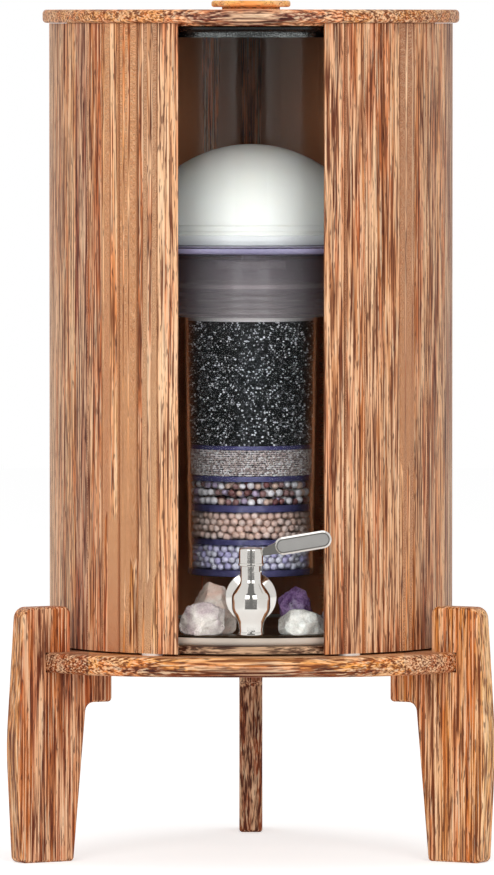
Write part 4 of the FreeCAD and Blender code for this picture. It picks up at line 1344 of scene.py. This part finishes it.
@dataclass
class FilterUnit(Assembly):
    """The clear tank with its gasket, the ceramic dome, the screw collar and the cartridge.

    Attributes:
        bead_size: Width of the round beads.
        sand_size: Width of a grain of sand.
        carbon_size: Width of a granule of carbon.
        taper: How much the cartridge's radius grows with its height.
        tank_floor: Height of the tank's floor, which looks tinted.
    """

    bead_size: float = 5.9 * MM
    sand_size: float = 1.9 * MM
    carbon_size: float = 1.7 * MM
    taper: float = 3.0 / 196.0
    tank_floor: float = 4.5 * MM

    def build(self) -> None:
        """Dress every piece of the unit."""
        tank = self.dress("upper_tank", "filter_unit", "clear_plastic")
        tank.data.materials.append(self.finishes["tank_floor_plastic"])
        tinted_top = bottom_of("upper_tank") + self.tank_floor
        for face in tank.data.polygons:
            face.material_index = 1 if face.center.z < tinted_top else 0
        for slot, finish, names in (
            ("clear_plastic", "dome_base_plastic", ["dome_base"]),
            ("dome_ceramic", "", ["ceramic_dome"]),
            ("gasket_rubber", "", ["rim_gasket"]),
            ("clear_plastic", "collar_plastic", ["screw_collar"]),
            ("blue_clear_plastic", "", ["cartridge_housing"]),
            ("blue_plastic", "", ["cartridge_base"]),
            ("silicone", "", ["dome_washer", "tank_washer", "collar_seal"]),
            ("white_plastic", "", ["stem_nut"]),
            ("pad_felt", "", ["top_felt"]),
            ("blue_plastic", "", ["screen_1", "screen_2", "screen_3", "screen_4"]),
        ):
            for name in names:
                self.dress(name, "filter_unit", slot, finish)
        self._media()

    def _media(self) -> None:
        """Fill the cartridge's layers with grains and beads, round a nearly black core that is painted shade between
        the grains.
        """
        pale = srgb(236, 228, 226)
        layers = {
            "lavender_beads": Scatter(self.bead_size, 0.12, (
                srgb(226, 218, 240), srgb(240, 236, 244), srgb(206, 196, 232), srgb(232, 226, 236))),
            "beige_beads": Scatter(self.bead_size, 0.08, (
                srgb(232, 196, 178), srgb(222, 186, 166), srgb(236, 208, 192))),
            "mixed_beads": Scatter(self.bead_size, 0.2, (
                pale, srgb(120, 74, 70), srgb(214, 180, 160), srgb(176, 156, 176), pale, srgb(150, 110, 104))),
            "mineral_sand": Scatter(self.sand_size, 0.3, (
                srgb(240, 226, 220), srgb(252, 244, 240), srgb(176, 156, 150), srgb(216, 196, 186)),
                shells=2, detail=1, roughness=0.22, flatten=0.7),
            # Painted glints: the grey and near-white granules among the black carbon stand for light sparkling on
            # it.
            "carbon_granules": Scatter(self.carbon_size, 0.35, (
                srgb(5, 5, 6), srgb(8, 8, 9), srgb(4, 4, 5), srgb(34, 34, 36), srgb(6, 6, 7),
                srgb(120, 120, 122), srgb(5, 5, 5), srgb(250, 250, 252)),
                shells=2, detail=1, roughness=0.28, flatten=0.55),
        }
        for slot, scatter in layers.items():
            name = "media_carbon" if slot == "carbon_granules" else "media_" + slot
            material = self.finishes[slot]
            low, high = bottom_of(name), top_of(name)
            top_r = (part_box(name)[1].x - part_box(name)[0].x) / 2.0
            taper = (high - low) * self.taper
            grains = scatter.fill("dressed_" + name, self.centre, low, high, top_r - taper, top_r, material)
            settle(grains, "filter_unit", [name])
            # Painted shade: a nearly black core fills each layer behind its grains, so that the gaps between them
            # look dark; under the carbon black is also the grains' own colour.
            painted_shade_core_r = top_r - scatter.size * (scatter.shells * scatter.shell_pitch)
            painted_shade_core = lathe("core_of_" + name, [(0.0, low), (painted_shade_core_r - taper, low), (painted_shade_core_r, high), (0.0, high)],
                         material, Vector((self.centre.x, self.centre.y, 0.0)), 64)
            store_colours(painted_shade_core.data, "tone", np.full((len(painted_shade_core.data.vertices), 3), 0.01))
            settle(painted_shade_core, "filter_unit", [])


@dataclass
class Stones(Assembly):
    """The loose stones and crystals on the vessel's floor.

    Attributes:
        lump_depth: How far a stone's surface is roughened.
        lump_scale: Lumps per metre.
        divisions: How often a solid's faces are divided.
        crystal_size: Length of a small crystal.
        crystal_r: Radius of a crystal, as a share of its length.
        crystal_ends: Where its lower end, its shoulder and its tip lie, as such shares.
    """

    lump_depth: float = 1.4 * MM
    lump_scale: float = 160.0
    divisions: int = 3
    crystal_size: float = 4.5 * MM
    crystal_r: float = 0.26
    crystal_ends: tuple[float, float, float] = (-0.5, 0.45, 0.75)

    def build(self) -> None:
        """Roughen each stone and grow crystals on the druzy one and the amethyst."""
        for name, slot, crystals in (
            ("stone_rose_quartz", "rose_quartz", 0),
            ("stone_druzy", "druzy_quartz", 90),
            ("stone_clear_quartz", "clear_quartz", 0),
            ("stone_amethyst", "amethyst", 70),
            ("stone_grey_agate", "grey_agate", 0),
            ("stone_flat_shard", "rose_quartz", 0),
        ):
            piece = self._stone(name, self.finishes[slot])
            if crystals:
                piece = self._crystals(piece, name, self.finishes[slot], crystals)
            settle(piece, "vessel", [name])

    def _stone(self, name: str, material: bpy.types.Material) -> bpy.types.Object:
        """Roughen a copy of a stone's solid, inside its box.

        Args:
            name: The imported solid's name.
            material: The stone's finish.

        Returns:
            The new object.
        """
        piece = copy_of(self.nodes[name], "dressed_" + name, material)
        piece.data.attributes.remove(piece.data.attributes["custom_normal"])
        work = bmesh.new()
        work.from_mesh(piece.data)
        for _ in range(self.divisions):
            bmesh.ops.subdivide_edges(work, edges=work.edges, cuts=1, use_grid_fill=True, smooth=0.12)
        work.normal_update()
        low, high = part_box(name)
        for vert in work.verts:
            depth = noise.fractal(vert.co * self.lump_scale, 1.0, 2.1, 4) - 0.35
            moved = vert.co + vert.normal * self.lump_depth * min(0.0, depth)
            vert.co = clamped(moved, low, high)
        work.to_mesh(piece.data)
        work.free()
        shade(piece.data, 24.0)
        return piece

    def _crystals(self, stone: bpy.types.Object, name: str, material: bpy.types.Material,
                  count: int) -> bpy.types.Object:
        """Grow small pointed crystals on a stone.

        Args:
            stone: The stone.
            name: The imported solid's name, which seeds the chance.
            material: The crystals' finish.
            count: How many crystals grow.

        Returns:
            The stone with its crystals.
        """
        chance = random.Random(name)
        low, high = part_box(name)
        mesh = stone.data
        tops = [face for face in mesh.polygons if face.normal.z > 0.05 or face.normal.y < -0.3]
        points: list = []
        faces: list = []
        for _ in range(count):
            face = chance.choice(tops)
            lean = Vector((chance.uniform(-0.5, 0.5), chance.uniform(-0.5, 0.5), chance.uniform(-0.2, 0.5)))
            way = (face.normal + lean).normalized()
            length = self.crystal_size * chance.uniform(0.5, 1.0)
            turn = way.to_track_quat("Z", "Y").to_matrix()
            base = len(points)
            foot = face.center - way * length * 0.5
            *ends, tip = self.crystal_ends
            for level in ends:
                for corner in range(6):
                    angle = math.pi * corner / 3.0
                    across = (self.crystal_r * math.cos(angle), self.crystal_r * math.sin(angle))
                    points.append(foot + turn @ (Vector((*across, level)) * length))
            points.append(foot + turn @ Vector((0.0, 0.0, tip * length)))
            for corner in range(6):
                ahead = (corner + 1) % 6
                faces.append((base + corner, base + ahead, base + 6 + ahead, base + 6 + corner))
                faces.append((base + 6 + corner, base + 6 + ahead, base + 12))
            faces.append(tuple(base + corner for corner in reversed(range(6))))
        points = [clamped(point, low, high) for point in points]
        return joined(stone.name, [stone, mesh_piece("crystals", points, faces, material, 20.0)])


@dataclass
class Tap(Assembly):
    """The steel tap: casting, turning cap, lever, seals and shank nut.

    Attributes:
        sunk_depth: Depth of the lever's satin face below its rim.
    """

    sunk_depth: float = 0.5 * MM

    def build(self) -> None:
        """Dress the tap's pieces."""
        for body, slot, sharp_degrees, names in (
            ("vessel", "polished_steel", 28.0, ["tap_body", "tap_shank_nut"]),
            ("vessel", "silicone", 30.0, ["tap_outer_seal", "tap_inner_seal"]),
            ("tap_handle", "polished_steel", 28.0, ["tap_cap", "tap_valve_plug"]),
        ):
            for name in names:
                self.dress(name, body, slot, sharp_degrees=sharp_degrees)
        lever = self.dress("tap_lever", "tap_handle", "lever_steel", "polished_steel", 20.0)
        lever.data.materials.append(self.finishes["lever_steel"])
        front = min(vert.co.y for vert in lever.data.vertices)
        for face in lever.data.polygons:
            sunk = abs(face.center.y - front - self.sunk_depth) < 0.1 * MM
            face.material_index = 1 if sunk and face.normal.y < -0.9 else 0
        self.dress("tap_o_rings", "tap_handle", "gasket_rubber")


class Lid(Assembly):
    """The wooden lid with its knob and screw."""

    def build(self) -> None:
        """Dress the lid, the knob and the screw."""
        self.dress("lid", "lid", "lid_wood")
        self.dress("lid_knob", "lid", "knob_wood")
        self.dress("knob_screw", "lid", "polished_steel")


@dataclass
class Studio:
    """The pale floor, the soft light and the camera.

    Attributes:
        axis: A point on the filter's axis.
        distance: From the camera to the filter's axis.
        metres_per_pixel: Scale of the photograph at the axis.
        camera_z: Height of the camera.
        target_x: Where the camera looks, across.
        target_z: Where the camera looks, upwards.
        sensor: Height of the camera's sensor in millimetres.
        floor_r: Radius of the floor.
        floor_sides: Corners of the floor's rim.
        wall_profile: Distance and height of the dim room's floor, wall and ceiling.
        wall_half_angle: How far the room reaches to each side, in degrees.
        wall_shade: Brightness of the room.
        floor_shade: Lightness of the floor.
        floor_glow: Light that is added to the floor where it is looked at.
        world_light: Strength of the world's light.
        lamps: Name, place, width and height, and power in watts of each lamp.
    """

    axis: Vector
    distance: float = 7.0
    metres_per_pixel: float = 0.00076
    camera_z: float = 0.632
    target_x: float = -0.003
    target_z: float = 0.315
    sensor: float = 24.0
    floor_r: float = 6.0
    floor_sides: int = 96
    wall_profile: tuple[tuple[float, float], ...] = ((0.9, 0.004), (3.0, 0.004), (3.0, 2.8), (1.2, 3.4))
    wall_half_angle: float = 34.0
    wall_shade: float = 0.24
    floor_shade: float = 0.86
    floor_glow: float = 0.5
    world_light: float = 0.56
    lamps: tuple = (
        ("left_light", (-1.0, -2.5, 1.05), (1.2, 1.9), 22.0),
        ("right_light", (1.0, -2.5, 1.05), (1.2, 1.9), 22.0),
        ("top_light", (0.0, 0.2, 2.8), (1.8, 1.8), 10.0),
    )

    def build(self) -> None:
        """Set up the studio."""
        self._camera()
        self._floor()
        self._world()
        self._dark_wall()
        for name, place, size, power in self.lamps:
            self._lamp(name, place, size, power)
        bpy.context.scene.view_settings.view_transform = "Standard"

    def _camera(self) -> None:
        """Place the camera as the photograph shows the filter."""
        data = bpy.data.cameras.new("camera")
        camera = bpy.data.objects.new("camera", data)
        bpy.context.scene.collection.objects.link(camera)
        target = Vector((self.target_x, self.axis.y, self.target_z))
        camera.location = Vector((self.target_x, self.axis.y - self.distance, self.camera_z))
        camera.rotation_euler = (target - camera.location).to_track_quat("-Z", "Y").to_euler()
        data.sensor_fit = "VERTICAL"
        data.sensor_height = self.sensor
        span = IMAGE_HEIGHT * self.metres_per_pixel
        data.lens = self.sensor * (target - camera.location).length / span
        data.clip_end = 60.0
        bpy.context.scene.camera = camera

    def _floor(self) -> None:
        """Build the pale floor, which the camera sees as white but for the shadow."""
        graph = Graph("studio_floor")
        diffuse = graph.add("ShaderNodeBsdfDiffuse", {"Color": grey(self.floor_shade)}).outputs["BSDF"]
        glow = graph.add("ShaderNodeEmission", {"Color": WHITE, "Strength": self.floor_glow}).outputs["Emission"]
        both = graph.add("ShaderNodeAddShader", {0: diffuse, 1: glow}).outputs["Shader"]
        material = graph.finish(graph.blend(graph.seen(), diffuse, both))
        turns = [2.0 * math.pi * step / self.floor_sides for step in range(self.floor_sides)]
        rim = [(self.floor_r * math.cos(turn), self.floor_r * math.sin(turn), 0.0) for turn in turns]
        mesh_piece("floor", rim, [tuple(range(self.floor_sides))], material)

    def _world(self) -> None:
        """Make the world white for the eye and in reflections, and a little dimmer as a light."""
        graph = Graph("studio", world=True)
        bpy.context.scene.world = graph.owner
        lights = [graph.add("ShaderNodeBackground", {"Color": WHITE, "Strength": strength}).outputs["Background"]
                  for strength in (self.world_light, 1.0)]
        graph.add("ShaderNodeOutputWorld", {"Surface": graph.blend(graph.seen(), *lights)})

    def _dark_wall(self) -> None:
        """Build the dim room in front of the filter, which only mirror images show."""
        graph = Graph("dark_wall")
        glow = graph.add("ShaderNodeEmission", {"Color": grey(self.wall_shade), "Strength": 1.0}).outputs["Emission"]
        material = graph.finish(glow)
        points = []
        steps = 24
        for step in range(steps + 1):
            turn = math.radians(self.wall_half_angle) * (2.0 * step / steps - 1.0)
            for reach, z in self.wall_profile:
                points.append((reach * math.sin(turn), self.axis.y - reach * math.cos(turn), z))
        rings = len(self.wall_profile)
        corners = [rings * step + ring for step in range(steps) for ring in range(rings - 1)]
        faces = [(corner, corner + rings, corner + rings + 1, corner + 1) for corner in corners]
        wall = mesh_piece("dark_wall", points, faces, material)
        wall.visible_camera = wall.visible_diffuse = False
        wall.visible_transmission = wall.visible_shadow = False

    def _lamp(self, name: str, place: tuple[float, float, float], size: tuple[float, float], power: float) -> None:
        """Add a soft lamp that faces the filter.

        Args:
            name: The lamp's name.
            place: Where it stands.
            size: Its width and height.
            power: Its power in watts.
        """
        data = bpy.data.lights.new(name, "AREA")
        data.shape = "RECTANGLE"
        data.size, data.size_y = size
        data.energy = power
        lamp = bpy.data.objects.new(name, data)
        bpy.context.scene.collection.objects.link(lamp)
        lamp.location = place
        target = Vector((0.0, self.axis.y, self.target_z))
        lamp.rotation_euler = (target - lamp.location).to_track_quat("-Z", "Y").to_euler()


def main() -> None:
    """Build the filter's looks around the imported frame."""
    logging.basicConfig(level=logging.INFO, format="%(name)s: %(message)s")
    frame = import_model()
    nodes = frame["nodes"]
    axis = Vector((middle_of("lid").x, middle_of("lid").y, 0.0))
    finishes = build_finishes(axis)
    for assembly in (Stand, Casing, GlassVessel, FilterUnit, Stones, Tap, Lid):
        assembly(finishes, nodes, axis).build()
    Studio(axis).build()


if __name__ == "__main__":
    main()
